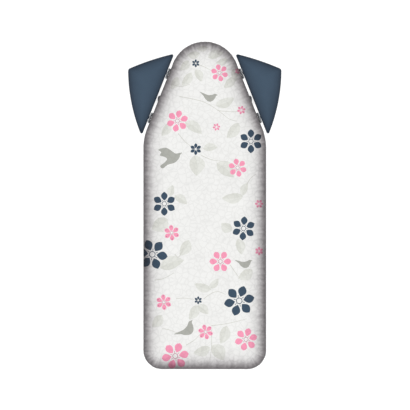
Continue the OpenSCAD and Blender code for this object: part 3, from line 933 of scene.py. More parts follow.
@dataclass(frozen=True)
class WingPlan:
    """Plan of a wing: a straight inner edge, a long and a short bulging edge and rounded corners."""

    inner: float = 0.005
    reach: float = 0.139
    low: float = 0.15425
    mid: float = 0.36034
    high: float = 0.47334
    bulge: float = 0.0123
    tip_r: float = 0.004
    corner_r: float = 0.01

    def ring(self, step: float, inset: float = 0.0, like: Ring | None = None) -> Ring:
        """The outline in (u, v), anticlockwise from the lower tip.

        Args:
            step: Distance between points.
            inset: How far it is drawn in.
            like: A ring whose points it matches one by one.

        Returns:
            The outline.
        """
        tip = np.array([self.inner, self.low])
        corner = np.array([self.reach, self.mid])
        top = np.array([self.inner, self.high])
        long_r, long_c = self.bow(tip, corner, self.bulge)
        short_r, short_c = self.bow(corner, top, self.bulge / 3)
        tip_r, corner_r = max(self.tip_r - inset, 0.0004), max(self.corner_r - inset, 0.0004)
        long_r, short_r = long_r - inset, short_r - inset
        u = self.inner + inset + tip_r
        low = np.array([u, long_c[1] - math.sqrt((long_r - tip_r) ** 2 - (u - long_c[0]) ** 2)])
        high = np.array([u, short_c[1] + math.sqrt((short_r - tip_r) ** 2 - (u - short_c[0]) ** 2)])
        out = self.meet(short_c, short_r - corner_r, long_c, long_r - corner_r)
        a0, a1 = self.heading(low - long_c), self.heading(out - long_c)
        b0, b1 = self.heading(out - short_c), self.heading(high - short_c)
        return Ring(
            [
                (tuple(low), tip_r, -math.pi, a0),
                (tuple(long_c), long_r, a0, a1),
                (tuple(out), corner_r, a1, b0),
                (tuple(short_c), short_r, b0, b1),
                (tuple(high), tip_r, b1, math.pi),
            ],
            step,
            like.counts if like else None,
        )

    @staticmethod
    def heading(run: Points) -> float:
        """Angle of a direction."""
        return math.atan2(run[1], run[0])

    @staticmethod
    def bow(start: Points, end: Points, rise: float) -> tuple[float, Points]:
        """Radius and centre of the arc from start to end that rises by that much."""
        run = end - start
        chord = float(np.linalg.norm(run))
        radius = (chord**2 / 4 + rise**2) / (2 * rise)
        left = np.array([-run[1], run[0]]) / chord
        return radius, (start + end) / 2 + left * math.sqrt(radius**2 - chord**2 / 4)

    @staticmethod
    def meet(a: Points, ra: float, b: Points, rb: float) -> Points:
        """Where two circles meet, on the right going from a to b."""
        run = b - a
        gap = float(np.linalg.norm(run))
        run = run / gap
        k = (gap**2 + ra**2 - rb**2) / (2 * gap)
        return a + k * run + math.sqrt(ra**2 - k**2) * np.array([run[1], -run[0]])


# ---------- Print ----------


class Ink(Enum):
    """Colours of the print."""

    WHITE = srgb(247, 247, 245)
    NAVY = srgb(59, 80, 100)
    PINK = srgb(255, 160, 190)
    MAUVE = srgb(206, 136, 160)
    LEAF = srgb(234, 235, 229)
    DEEP_LEAF = srgb(227, 228, 221)
    STEM = srgb(220, 220, 213)
    BIRD = srgb(178, 179, 172)


Shape = tuple[Ink, Points]


def turned_points(points: Points, turn: float, size: float, x: float, y: float) -> Points:
    """Scales, turns by degrees and moves plan points given in millimetres."""
    angle = math.radians(turn)
    spin = np.array([[math.cos(angle), math.sin(angle)], [-math.sin(angle), math.cos(angle)]])
    return (points * size) @ spin * MM + np.array([x, y]) * MM


def disc(radius: float, count: int = 16) -> Points:
    """Points of a circle round the origin."""
    turn = 2 * math.pi * np.arange(count) / count
    return radius * np.column_stack([np.cos(turn), np.sin(turn)])


@dataclass(frozen=True)
class Flower:
    """Six-petalled flower, with its place and radius in millimetres."""

    x: float
    y: float
    radius: float
    ink: Ink
    turn: float = 30
    dotted: bool = False

    def petal(self) -> Points:
        """One petal along X, on a flower of radius 1."""
        blunt = self.ink is Ink.PINK
        steps = 7 if self.radius > 25 else 5
        part = np.arange(1, steps) / steps
        round_off, swell = (0.62, 1.3) if blunt else (0.8, 1.1)
        half = 0.275 * np.sin(math.pi * part**swell) ** round_off
        start = 0.2 if self.dotted else 0.27 if self.radius > 25 else 0.14
        place = start + (1 - start) * part
        upper = np.column_stack([place, half])
        lower = np.column_stack([place, -half])
        return np.vstack([[start, 0], lower, [1.0, 0], upper[::-1]])

    def shapes(self) -> list[Shape]:
        """Petals, then what lies on them."""
        made: list[Shape] = []
        for index in range(6):
            turn = self.turn + 60 * index
            made.append((self.ink, turned_points(self.petal(), turn, self.radius, self.x, self.y)))
            if self.dotted:
                dot = disc(0.085, 8) + np.array([0.8, 0])
                made.append((Ink.MAUVE, turned_points(dot, turn, self.radius, self.x, self.y)))
        if self.radius > 25:
            ring = Ink.NAVY if self.ink is Ink.NAVY else Ink.MAUVE
            for index in range(6):
                stamen = np.array([(0.2, 0.012), (0.2, -0.012), (0.36, -0.022), (0.38, 0.0), (0.36, 0.022)])
                turn = self.turn + 30 + 60 * index
                made.append((ring, turned_points(stamen, turn, self.radius, self.x, self.y)))
            made.append((ring, turned_points(disc(0.205), 0, self.radius, self.x, self.y)))
            made.append((Ink.WHITE, turned_points(disc(0.16), 0, self.radius, self.x, self.y)))
        return made


@dataclass(frozen=True)
class Leaf:
    """Pale two-toned leaf from its foot to its tip, in millimetres."""

    foot: tuple[float, float]
    tip: tuple[float, float]
    width: float
    bend: float = 0.07

    def shapes(self) -> list[Shape]:
        """The two halves of the leaf on either side of its midrib."""
        run = np.array(self.tip) - np.array(self.foot)
        length = float(np.hypot(*run))
        turn = math.degrees(math.atan2(run[1], run[0]))
        part = np.linspace(0, 1, 11)
        middle = self.bend * length * np.sin(math.pi * part)
        half = self.width * 0.62 * np.sin(math.pi * part**0.85) ** 0.85
        spine = np.column_stack([part * length, middle])
        left = np.column_stack([part * length, middle + half])[1:-1]
        right = np.column_stack([part * length, middle - half])[1:-1]
        return [
            (Ink.LEAF, turned_points(np.vstack([spine, left[::-1]]), turn, 1, *self.foot)),
            (Ink.DEEP_LEAF, turned_points(np.vstack([spine[::-1], right]), turn, 1, *self.foot)),
        ]


@dataclass(frozen=True)
class Stem:
    """Thin curved stem through points in millimetres."""

    points: tuple[tuple[float, float], ...]
    width: float = 2.6

    def shapes(self) -> list[Shape]:
        """The stem as a narrow band."""
        line = smooth_open(list(self.points), 5)
        run = np.gradient(line, axis=0)
        side = np.column_stack([-run[:, 1], run[:, 0]]) / np.linalg.norm(run, axis=1)[:, None]
        taper = self.width / 2 * np.linspace(1.1, 0.6, len(line))[:, None]
        return [(Ink.STEM, np.vstack([line + side * taper, (line - side * taper)[::-1]]) * MM)]


@dataclass(frozen=True)
class Bird:
    """Plain bird silhouette, perched or in flight, with its place and length in millimetres."""

    x: float
    y: float
    length: float
    turn: float = 0
    flying: bool = False

    def shapes(self) -> list[Shape]:
        """The silhouette, with its head towards X."""
        if self.flying:
            outline = [(-0.55, -0.04), (-0.5, -0.18), (-0.25, -0.14), (0.05, -0.2), (0.3, -0.12),
                       (0.4, -0.02), (0.52, 0.02), (0.4, 0.07), (0.26, 0.12), (0.16, 0.3), (0.02, 0.52),
                       (-0.3, 0.6), (-0.24, 0.44), (-0.36, 0.36), (-0.22, 0.22), (-0.16, 0.08),
                       (-0.34, 0.0)]
        else:
            outline = [(-0.5, 0.24), (-0.4, 0.13), (-0.28, 0.02), (-0.18, -0.13), (0.02, -0.27),
                       (0.22, -0.23), (0.35, -0.07), (0.41, 0.07), (0.5, 0.12), (0.42, 0.16),
                       (0.32, 0.18), (0.18, 0.11), (-0.04, 0.09), (-0.24, 0.15)]
        points = smooth_closed(outline, 3)
        return [(Ink.BIRD, turned_points(points, self.turn, self.length, self.x, self.y))]


def floral_print() -> list[Shape]:
    """The cover's print: pale leaves and stems, then birds, then flowers.

    Returns:
        Closed shapes in metres, in the order they are printed.
    """
    leaves = [Leaf(*row) for row in (
        ((-33, 498), (-12, 453), 24), ((-48, 486), (-85, 438), 25), ((108, 470), (70, 430), 25),
        ((40, 366), (108, 394), 29, -0.07), ((125, 302), (80, 246), 31), ((-72, 306), (-10, 262), 31),
        ((-127, 302), (-158, 254), 25), ((-6, 208), (48, 213), 24), ((-35, 184), (-30, 108), 46),
        ((44, 156), (108, 103), 42), ((-126, 33), (-117, 75), 22), ((-111, 36), (-64, 5), 25),
        ((140, 34), (62, 27), 31), ((137, 36), (157, 84), 22), ((100, -92), (60, -66), 30),
        ((122, -122), (134, -180), 28), ((-135, -50), (-194, -88), 44), ((-57, -127), (-91, -184), 32),
        ((-164, -228), (-76, -200), 40), ((175, -236), (122, -268), 32), ((24, -308), (-38, -287), 26),
        ((17, -303), (50, -266), 20, -0.07), ((-28, -365), (-57, -418), 28),
        ((-26, -365), (13, -397), 26), ((-157, -401), (-192, -445), 30), ((80, -440), (58, -506), 32),
        ((20, -520), (-42, -541), 30), ((29, -510), (69, -566), 40), ((12, 541), (68, 560), 27),
        ((84, 534), (40, 520), 20), ((-18, 556), (-66, 549), 22), ((-58, 530), (-90, 494), 24),
        ((104, 500), (112, 452), 22), ((-98, 470), (-124, 425), 24), ((10, 577), (-30, 574), 18),
    )]
    stems = [Stem(points) for points in (
        ((-93, 399), (-43, 389), (0, 377), (46, 350), (88, 317), (117, 309)),
        ((46, 347), (92, 343), (121, 343)), ((-22, 515), (0, 506), (23, 494)),
        ((-97, 263), (-72, 233), (-51, 217)), ((-13, 183), (29, 166), (83, 161)),
        ((-118, 443), (-89, 435), (-55, 443)), ((-184, -273), (-150, -267), (-112, -246)),
        ((-105, -341), (-75, -339), (-40, -344)), ((-3, -341), (24, -322), (49, -315), (76, -326)),
        ((24, -440), (83, -432), (153, -415)), ((-155, -451), (-130, -455), (-102, -466)),
        ((-68, -511), (-36, -491), (-13, -465)), ((24, -455), (25, -515), (19, -564)),
        ((153, 75), (168, 100), (188, 115)), ((-110, -178), (-95, -188), (-75, -150)),
        ((93, -217), (113, -247), (128, -267)),
    )]
    birds = [Bird(*row) for row in (
        (14, 398, 66, -4), (-122, 170, 88, 28, True), (143, -212, 64, 4), (-68, -456, 84, 44),
    )]
    pink, navy = Ink.PINK, Ink.NAVY
    flowers = [Flower(*row) for row in (
        (-33, 520, 15, navy), (169, 235, 44, navy), (-33, 206, 22, navy), (-148, 6, 44, navy),
        (142, -84, 44, navy, 25), (-192, -179, 57, navy, -8), (-24, -347, 15, navy),
        (126, -349, 57, navy, 12), (54, 485, 32, pink, -18), (122, 492, 12, pink),
        (134, 349, 16, pink, 15, True), (-100, 309, 40, pink, 18), (43, 287, 14, pink, 10, True),
        (120, 138, 34, pink, -18), (199, 6, 16, pink, 0, True), (-121, -100, 29, pink, 35, True),
        (199, -167, 16, pink), (57, -205, 40, pink, 0), (-150, -354, 29, pink, 35, True),
        (3, -463, 28, pink, 44, True), (151, -490, 42, pink, 15), (-108, -551, 50, pink, 10),
    )]
    shapes: list[Shape] = []
    for motif in (*leaves, *stems, *birds, *flowers):
        shapes += motif.shapes()
    return shapes


# ---------- Soft goods of the board ----------


@dataclass
class PrintedCover:
    """Cotton cover over the pad, round the rim and turned in under the board over an elastic cord."""

    plan: BoardPlan
    top: float
    bottom: float
    cloth: float = 0.0012
    crown: float = 0.0009
    round_in: float = 0.013
    round_down: float = 0.0095
    hem_inset: float = 0.036
    step: float = 0.0036
    grid: float = 0.011
    notch_half: float = 0.024
    dense_step: float = 0.0006
    blend: float = 0.04
    crown_run: float = 0.032
    top_pucker: float = 0.0009
    hem_pucker: float = 0.0012
    ring: Ring = field(init=False)
    dense: Ring = field(init=False)

    def __post_init__(self) -> None:
        """Samples the outline and the section."""
        self.ring = self.plan.ring(self.step)
        self.dense = self.plan.ring(self.dense_step)
        self.section, self.run = self.section_points()
        self.hem_end = float(self.run[-1])

    def section_points(self) -> tuple[Points, Points]:
        """Section from the flat top to the hem's end.

        Returns:
            Inset and height of its points, and their distance along the cloth from the edge of the flat top.
        """
        turn = np.linspace(0, math.pi / 2, 9)
        shoulder = np.column_stack([
            self.round_in * (1 - np.sin(turn)) + 0.0003,
            self.top - self.crown - self.round_down * (1 - np.cos(turn)),
        ])
        low = self.bottom + 0.004
        side = np.array([[0.0, self.top - 0.017], [0.0, low + 0.006], [0.0004, low + 0.001]])
        turn = np.linspace(0.3, math.pi / 2, 5)
        under = np.column_stack([0.0044 * (1 - np.cos(turn)) + 0.0004, low - 0.004 * np.sin(turn)])
        inward = np.column_stack([np.linspace(0.009, self.hem_inset, 7), np.full(7, self.bottom)])
        points = np.vstack([shoulder, side, under, inward])
        run = np.concatenate([[0], np.cumsum(np.linalg.norm(np.diff(points, axis=0), axis=1))])
        return points, run

    def place(self, flat: Points) -> tuple[Points, Points, Points]:
        """Wraps flat cloth round the board.

        Args:
            flat: Points of the flat cloth.

        Returns:
            Their places, insets and puckers.
        """
        index, out = self.dense.nearest(flat)
        normal = self.dense.normal[index]
        run = np.clip(out + self.round_in, 0, self.hem_end)
        flat_top = out < -self.round_in
        inset = np.where(flat_top, -out, np.interp(run, self.run, self.section[:, 0]))
        fall = self.crown * np.clip(1 - (-out - self.round_in) / self.crown_run, 0, 1) ** 2
        height = np.where(flat_top, self.top - fall, np.interp(run, self.run, self.section[:, 1]))
        plan = flat - normal * (out + inset)[:, None]
        pucker, size = self.puckers(index, out)
        tangent = np.gradient(self.section, axis=0)
        face = np.column_stack([tangent[:, 1], tangent[:, 0]])
        face = face / np.linalg.norm(face, axis=1)[:, None]
        lean = -np.interp(run, self.run, face[:, 0])
        lift = -np.interp(run, self.run, face[:, 1])
        lean = np.where(flat_top, 0, lean)
        lift = np.where(flat_top, 1, lift)
        move = (0.5 + 0.5 * pucker) * size
        plan = plan + normal * (move * lean)[:, None]
        return np.column_stack([plan, height + move * lift]), -out, pucker

    def puckers(self, index: Points, out: Points) -> tuple[Points, Points]:
        """Gathers that run across the edge.

        Args:
            index: Nearest samples of the outline.
            out: Distances outwards over the flat cloth.

        Returns:
            Pucker from -1 to 1 and its size in metres.
        """
        along = self.dense.along[index] / self.dense.length * 2 * math.pi
        wave = np.zeros(len(along))
        for count, phase, share in ((61, 0.4, 0.25), (97, 1.9, 0.3), (163, 4.1, 0.3), (241, 2.6, 0.25)):
            wave += share * np.sin(count * along + phase + 1.6 * np.sin(7 * along + phase))
        wave = np.clip(wave * 1.7, -1, 1)
        zones = np.array(self.dense.zones)
        corners, shoulders = np.isin(zones, (0, 2, 4)), np.isin(zones, (1, 3))
        tight = np.select([corners, shoulders], [1.0, 0.5], 0.35)
        width = int(self.blend / self.dense_step)
        kernel = np.ones(width) / width
        looped = np.concatenate([tight[-width:], tight, tight[:width]])
        gather = np.convolve(looped, kernel, "same")[width:-width][index]
        top = np.clip((out + 0.045) / 0.032, 0, 1) ** 2
        hem = np.clip((out - 0.02) / 0.03, 0, 1)
        size = gather * (self.top_pucker * top + self.hem_pucker * hem)
        return wave * np.clip(0.3 + gather, 0, 1), size

    def flat_points(self) -> Points:
        """Rings near the edge and a grid in the middle of the flat cloth."""
        inner = [-0.047, -0.0405, -0.0345, -0.029, -0.024, -0.0195, -0.016]
        outer = list(self.run - self.round_in)
        rings = [self.ring.offset(out) for out in (*inner, *outer[1:-1])]
        half = int(0.24 / self.grid)
        long = int(0.62 / self.grid)
        rows = np.array([(i * self.grid, j * self.grid)
                         for j in range(-long, long) for i in range(-half, half)])
        _, out = self.dense.nearest(rows)
        return np.vstack([*rings, rows[out < -0.051]])

    def notch(self, v: float, side: int) -> Points:
        """Flat corners of the gap that clears one hinge bracket."""
        start = self.hem_end - self.round_in
        near = float(np.interp(-self.bottom - 0.0016, -self.section[:, 1], self.run)) - self.round_in
        out = self.plan.wing_gap / 2
        corners = [(near - out, -self.notch_half), (start + 0.01, -self.notch_half),
                   (start + 0.01, self.notch_half), (near - out, self.notch_half)]
        return np.array([self.plan.beside(u, v + dv, side) for u, dv in corners])

    def build(self, shapes: list[Shape]) -> Piece:
        """Cuts, prints, wraps and thickens the cloth.

        Args:
            shapes: The print.

        Returns:
            The cover.
        """
        border = self.ring.offset(self.hem_end - self.round_in)
        notches = [self.notch(v, side) for side in (-1, 1) for v in HINGE_PLACES]
        loops = [border, *notches, *(points for _, points in shapes)]
        loops = [loop[::-1] if signed_area(loop) < 0 else loop for loop in loops]
        start = self.flat_points()
        vectors = [Vector(point) for point in np.vstack([start, *loops])]
        made = delaunay_2d_cdt(vectors, [], numbered(loops, len(start)), 1, 1e-6)
        flat = np.array([tuple(point) for point in made[0]])
        cut = set(range(1, len(notches) + 1))
        keep = [i for i, owners in enumerate(made[5]) if 0 in owners and not cut.intersection(owners)]
        inks = [max(made[5][i]) for i in keep]
        place, inset, pucker = self.place(flat)
        piece = from_faces("printed_cover", place, [made[2][i] for i in keep])
        # Inset and Pucker set the painted edge shade in the cover's material: darker towards the edge and in
        # the valleys of the gathers.
        store(piece, "Inset", inset)
        store(piece, "Pucker", pucker)
        layer = piece.data.attributes.new("Print", "FLOAT_COLOR", "CORNER")
        colours = np.empty((len(piece.data.loops), 4), np.float32)
        for face, owner in zip(piece.data.polygons, inks):
            ink = Ink.WHITE if owner <= len(notches) else shapes[owner - 1 - len(notches)][0]
            colours[face.loop_start:face.loop_start + face.loop_total] = ink.value
        layer.data.foreach_set("color", colours.ravel())
        self.face_up(piece)
        apply(piece, "SOLIDIFY", thickness=self.cloth, offset=-1.0, use_even_offset=False)
        return smoothed(piece, 50)

    @staticmethod
    def face_up(piece: Piece) -> None:
        """Drops loose points and turns an open skin's faces to the outside."""
        mesh = bmesh.new()
        mesh.from_mesh(piece.data)
        bmesh.ops.delete(mesh, geom=[v for v in mesh.verts if not v.link_faces], context="VERTS")
        top = max(mesh.faces, key=lambda face: face.calc_center_median().z)
        if top.normal.z < 0:
            bmesh.ops.reverse_faces(mesh, faces=mesh.faces)
        mesh.to_mesh(piece.data)
        mesh.free()

    def elastic(self) -> Piece:
        """Cord in the hem's casing that draws the cover tight and passes behind the hinge brackets."""
        ring = self.plan.ring(0.005)
        inset = np.full(len(ring.base), self.hem_inset - 0.001)
        height = np.full(len(ring.base), self.bottom + 0.0004)
        for side in (-1, 1):
            for v in HINGE_PLACES:
                middle = np.array(self.plan.beside(-0.04, v, side))
                gap = np.linalg.norm(ring.base - ring.normal * inset[:, None] - middle, axis=1)
                lift = np.clip(1.5 - gap / 0.026, 0, 1)
                lift = lift * lift * (3 - 2 * lift)
                inset = inset + 0.0035 * lift
                height = height + 0.0008 * lift
        phase = ring.along / ring.length * 2 * math.pi
        height = height + 0.0003 * np.sin(97 * phase)
        path = np.column_stack([ring.base - ring.normal * inset[:, None], height])
        return swept("hem_elastic", path, 0.0016, True)

    def stitches(self) -> Piece:
        """Run of stitches along the casing under the board."""
        ring = self.plan.ring(0.0055)
        points: list[tuple[float, float, float]] = []
        faces: list[tuple[int, ...]] = []
        spots = np.array([self.plan.beside(-0.03, v, side) for side in (-1, 1) for v in HINGE_PLACES])
        for base, normal in zip(ring.base, ring.normal):
            middle = base - normal * (self.hem_inset - 0.0055)
            if np.min(np.linalg.norm(spots - middle, axis=1)) < 0.03:
                continue
            along = np.array([-normal[1], normal[0]])
            start = len(points)
            for part, size in ((-0.0017, 0.25), (-0.0008, 1.0), (0.0008, 1.0), (0.0017, 0.25)):
                for turn in range(6):
                    angle = math.pi * turn / 3
                    spot = middle + along * part + normal * 0.00045 * size * math.cos(angle)
                    points.append((spot[0], spot[1], self.bottom - 0.0005 + 0.0004 * size * math.sin(angle)))
            for row in range(3):
                for turn in range(6):
                    a = start + row * 6 + turn
                    b = start + row * 6 + (turn + 1) % 6
                    faces.append((a, b, b + 6, a + 6))
            faces.append(tuple(range(start, start + 6)))
            faces.append(tuple(range(start + 23, start + 17, -1)))
        return settle(from_faces("hem_stitches", points, faces), 60)


def filled(loop: Points, grid: float, holes: list[Points] | None = None) -> tuple[Points, list]:
    """Fills an outline with triangles.

    Args:
        loop: The outline.
        grid: Distance between the points inside it, or 0 for none.
        holes: Outlines that are left open.

    Returns:
        Points and faces.
    """
    points = [loop, *(holes or [])]
    rows = numbered(points)
    if grid:
        low, high = loop.min(0), loop.max(0)
        xs = np.arange(low[0] + grid * 0.6, high[0], grid)
        ys = np.arange(low[1] + grid * 0.6, high[1], grid)
        spots = np.array([(x, y) for y in ys for x in xs])
        after = np.roll(loop, -1, 0)
        run = after - loop
        length = np.linalg.norm(run, axis=1)
        side = ((spots[:, None, 0] - loop[None, :, 0]) * -run[None, :, 1]
                + (spots[:, None, 1] - loop[None, :, 1]) * run[None, :, 0]) / length
        points.append(spots[side.min(1) > grid * 0.35])
    made = delaunay_2d_cdt([Vector(point) for point in np.vstack(points)], [], rows, 1, 1e-7)
    faces = [face for face, owners in zip(made[2], made[5]) if 0 in owners and max(owners) == 0]
    return np.array([tuple(point) for point in made[0]]), faces


def lofted(name: str, section: list[tuple[Points, float]], grid: float) -> Piece:
    """Closed form with a filled bottom, rings up its sides and a filled top.

    Args:
        name: Name of the piece.
        section: Loop and height of each ring, from the bottom to the top.
        grid: Distance between points inside the two ends.

    Returns:
        The piece.
    """
    count = len(section[0][0])
    points = [np.column_stack([loop, np.full(count, height)]) for loop, height in section]
    faces: list[tuple[int, ...]] = []
    for row in range(len(section) - 1):
        for i in range(count):
            j = (i + 1) % count
            faces.append((row * count + i, row * count + j, (row + 1) * count + j, (row + 1) * count + i))
    total = count * len(section)
    for row in (0, len(section) - 1):
        flat, tris = filled(section[row][0], grid)
        points.append(np.column_stack([flat, np.full(len(flat), section[row][1])]))
        faces += [tuple(total + i for i in face) for face in tris]
        total += len(flat)
    return settle(from_faces(name, np.vstack(points), faces), 40)


@dataclass
class FeltPad:
    """Felt and foam pad that lies between the deck and the cover."""

    plan: BoardPlan
    bottom: float
    top: float

    def build(self) -> Piece:
        """Pad with a rounded upper edge, just under the cover."""
        turn = np.linspace(0, math.pi / 2, 6)
        low = self.bottom + 0.0004
        tall = self.top - self.bottom - 0.0004
        edge = [(0.0022 + 0.011 * (1 - math.cos(a)), low + tall * math.sin(a)) for a in turn]
        ring = self.plan.ring(0.008)
        rows = [(ring.offset(-inset), height) for inset, height in ((0.0026, self.bottom), *edge)]
        return lofted("felt_pad", rows, 0.02)


@dataclass
class MeshDeck:
    """Steel deck of diamond mesh with a plain border that lies on the rim."""

    plan: BoardPlan
    bottom: float
    top: float
    inset: float = 0.0016
    border: float = 0.019
    cell: tuple[float, float] = (0.021, 0.0105)
    strand: float = 0.0021

    def holes(self) -> list[Points]:
        """Openings of the mesh, each a diamond with its points cut off."""
        wide, high = self.cell
        half_w, half_h = wide / 2 - self.strand * 0.95, high / 2 - self.strand * 0.5
        diamond = np.array([(half_w, 0.0011), (0.0022, half_h), (-0.0022, half_h), (-half_w, 0.0011),
                            (-half_w, -0.0011), (-0.0022, -half_h), (0.0022, -half_h), (half_w, -0.0011)])
        ring = self.plan.ring(0.002)
        rows = []
        for j in range(-int(self.plan.length / high), int(self.plan.length / high) + 1):
            shift = wide / 2 if j % 2 else 0
            for i in range(-12, 13):
                rows.append((i * wide + shift, j * high / 2))
        spots = np.array(rows)
        _, out = ring.nearest(spots)
        return [diamond + spot for spot in spots[out < -self.border - wide / 2]]

    def build(self) -> Piece:
        """Cuts the openings and gives the sheet its thickness."""
        loop = self.plan.ring(0.008).offset(-self.inset)
        flat, faces = filled(loop, 0, self.holes())
        piece = from_faces("mesh_deck", np.column_stack([flat, np.full(len(flat), self.top)]), faces)
        PrintedCover.face_up(piece)
        apply(piece, "SOLIDIFY", thickness=self.top - self.bottom, offset=-1.0)
        return piece


# ---------- Wings ----------


@dataclass
class Wings:
    """The two padded shoulder wings: cushion, turned-in hem, piping and strap rivets."""

    board: BoardPlan
    bottom: float
    top: float
    plan: WingPlan = field(default_factory=WingPlan)
    shrink: float = 0.0036
    voxel: float = 0.0045
    pressure: float = 4.0
    most: float = 0.0046
    draw: float = 0.0008
    wall: float = 0.012
    soft: float = 0.0055
    hem: float = 0.016
    tuck: float = 0.0045
    seam: float = 0.0108
    ease: float = 0.6
    side_band: float = 0.0075
    side_fade: float = 0.005
    wall_band: float = 0.0085
    wall_fade: float = 0.004
    most_in: float = 0.0015
    floor_gap: float = 0.0018
    shade_band: float = 0.011
    shade_fade: float = 0.008
    hem_step: float = 0.0035
    strap_t: float = 0.002

    def start_form(self) -> Piece:
        """Slack cushion in (u, v) that the pressure fills out."""
        low, high = self.bottom + 0.0048, self.top - 0.0046
        section = [(self.shrink + 0.003, low), (self.shrink, low + 0.002), (self.shrink, high - 0.004),
                   (self.shrink + 0.0015, high - 0.0012), (self.shrink + 0.005, high)]
        like = self.plan.ring(0.004)
        rows = [(self.plan.ring(0.004, inset, like).base, height) for inset, height in section]
        piece = lofted("wing_cushion_right", rows, 0.006)
        return apply(piece, "REMESH", mode="VOXEL", voxel_size=self.voxel)

    def inflate(self, piece: Piece) -> None:
        """Fills the cushion by cloth simulation, with its sides held out and its swelling limited.

        Args:
            piece: The slack cushion.
        """
        before = read_points(piece)
        cloth = piece.modifiers.new("Cloth", "CLOTH")
        cloth.settings.use_pressure = True
        cloth.settings.uniform_pressure_force = self.pressure
        cloth.settings.effector_weights.gravity = 0
        cloth.settings.tension_stiffness = 8
        cloth.settings.compression_stiffness = 8
        cloth.settings.bending_stiffness = 0.3
        scene = bpy.context.scene
        for frame in range(1, 21):
            scene.frame_set(frame)
        move = read_points(piece.evaluated_get(bpy.context.evaluated_depsgraph_get())) - before
        sideways = np.linalg.norm(move[:, :2], axis=1)[:, None]
        swell = np.abs(move[:, 2])
        log.info("cushion: cloth swelled by %.1f mm and drew in by %.1f mm",
                 swell.max() / MM, sideways.max() / MM)
        move[:, :2] *= np.minimum(1, self.draw / np.maximum(sideways, 1e-9))
        move[:, 2] *= self.most / (swell + self.ease * self.most)
        piece.modifiers.remove(cloth)
        scene.frame_set(1)
        write_points(piece, before + move)

    def spread(self, piece: Piece) -> None:
        """Carries the cushion's sides from the slack form's plan out to the wing's plan, tips included.

        Args:
            piece: The cushion.
        """
        full = self.plan.ring(0.001)
        slack = self.plan.ring(0.001, self.shrink, full)
        points = read_points(piece)
        index, out = slack.nearest(points[:, :2])
        near = np.clip((self.side_band + out) / self.side_fade, 0, 1)
        points[:, :2] += (full.base - slack.base)[index] * near[:, None]
        write_points(piece, points)

    def fit(self, piece: Piece) -> None:
        """Seats the cushion: flat below, up round the tray's wall and rounded in at its top edge.

        Args:
            piece: The cushion.
        """
        ring = self.plan.ring(0.001)
        points = read_points(piece)
        index, out = ring.nearest(points[:, :2])
        above_wall = self.top - self.bottom - self.wall
        height = np.clip((points[:, 2] - self.bottom - self.wall) / above_wall, 0, 1)
        wanted = -0.0005 - self.soft * (1 - np.sqrt(1 - (height * 0.98) ** 2))
        side = np.clip((self.wall_band + out) / self.wall_fade, 0, 1)
        shift = np.maximum((wanted - out) * side, -self.most_in)
        points[:, :2] += ring.normal[index] * shift[:, None]
        points[:, 2] = np.clip(points[:, 2], self.bottom + self.floor_gap, self.top)
        write_points(piece, points)

    def cushion(self) -> Piece:
        """The right-hand cushion in (u, v)."""
        piece = self.start_form()
        self.inflate(piece)
        self.spread(piece)
        self.fit(piece)
        apply(piece, "SMOOTH", factor=0.5, iterations=3)
        apply(piece, "SUBSURF", levels=1, render_levels=1)
        self.fit(piece)
        # Inset drives the painted shade of the navy cotton: the top is painted darker towards its outline,
        # and the sides, where Inset is 0, take the darkest painted shade.
        points = read_points(piece)
        _, out = self.plan.ring(0.001).nearest(points[:, :2])
        above = np.clip((points[:, 2] - self.top + self.shade_band) / self.shade_fade, 0, 1)
        store(piece, "Inset", np.maximum(-out, 0) * above)
        return piece

    def turned_hem(self) -> Piece:
        """Edge of the cloth, from the piping down round the tray's wall and in under the tray."""
        ring = self.plan.ring(self.hem_step)
        phase = ring.along / ring.length * 2 * math.pi
        wave = 0.5 + 0.3 * np.sin(71 * phase + np.sin(5 * phase)) + 0.2 * np.sin(113 * phase + 1)
        section = [(self.tuck, self.seam + 0.001, 0.0), (0.0012, self.seam + 0.0008, 0.0),
                   (-0.0002, self.seam, 0.1), (-0.0002, 0.0065, 0.3), (-0.0002, 0.0035, 0.4),
                   (0.0002, 0.0014, 0.5), (0.0012, 0.0004, 0.4)]
        section += [(float(inset), 0.0001, 1.0) for inset in np.linspace(0.003, self.hem, 6)]
        points = []
        for inset, height, share in section:
            lift = share * 0.0004 * wave
            drawn = self.plan.ring(self.hem_step, max(inset, 0.0), ring)
            upright = height > 0.001
            proud = lift * upright - min(inset, 0.0)
            tall = self.bottom + height - lift * (not upright)
            points.append(np.column_stack([drawn.base + drawn.normal * proud[:, None], tall]))
        count = len(ring.base)
        faces = []
        for row in range(0, (len(section) - 1) * count, count):
            for i in range(count):
                after = row + (i + 1) % count
                faces.append((row + i, row + count + i, after + count, after))
        piece = from_faces("wing_hem_right", np.vstack(points), faces)
        self.face_out(piece, ring)
        apply(piece, "SOLIDIFY", thickness=0.0009, offset=-1.0)
        # An inset of 0 paints the whole hem with the darkest painted edge shade.
        store(piece, "Inset", np.zeros(len(piece.data.vertices)))
        return smoothed(piece, 60)

    @staticmethod
    def face_out(piece: Piece, ring: Ring) -> None:
        """Turns the faces of an open band outwards."""
        face = piece.data.polygons[0]
        spot = np.array(face.center[:2])[None]
        index, _ = ring.nearest(spot)
        if np.dot(np.array(face.normal[:2]), ring.normal[index[0]]) < 0:
            piece.data.flip_normals()

    def piping(self) -> Piece:
        """Corded piping over the seam between the cushion and its hem."""
        ring = self.plan.ring(0.003)
        path = np.column_stack([ring.offset(-0.0002), np.full(len(ring.base), self.bottom + self.seam)])
        piece = swept("wing_piping_right", path, 0.0014, True, 3)
        # An inset of 4 mm paints the piping with a strong edge shade.
        store(piece, "Inset", np.full(len(piece.data.vertices), 0.004))
        return piece

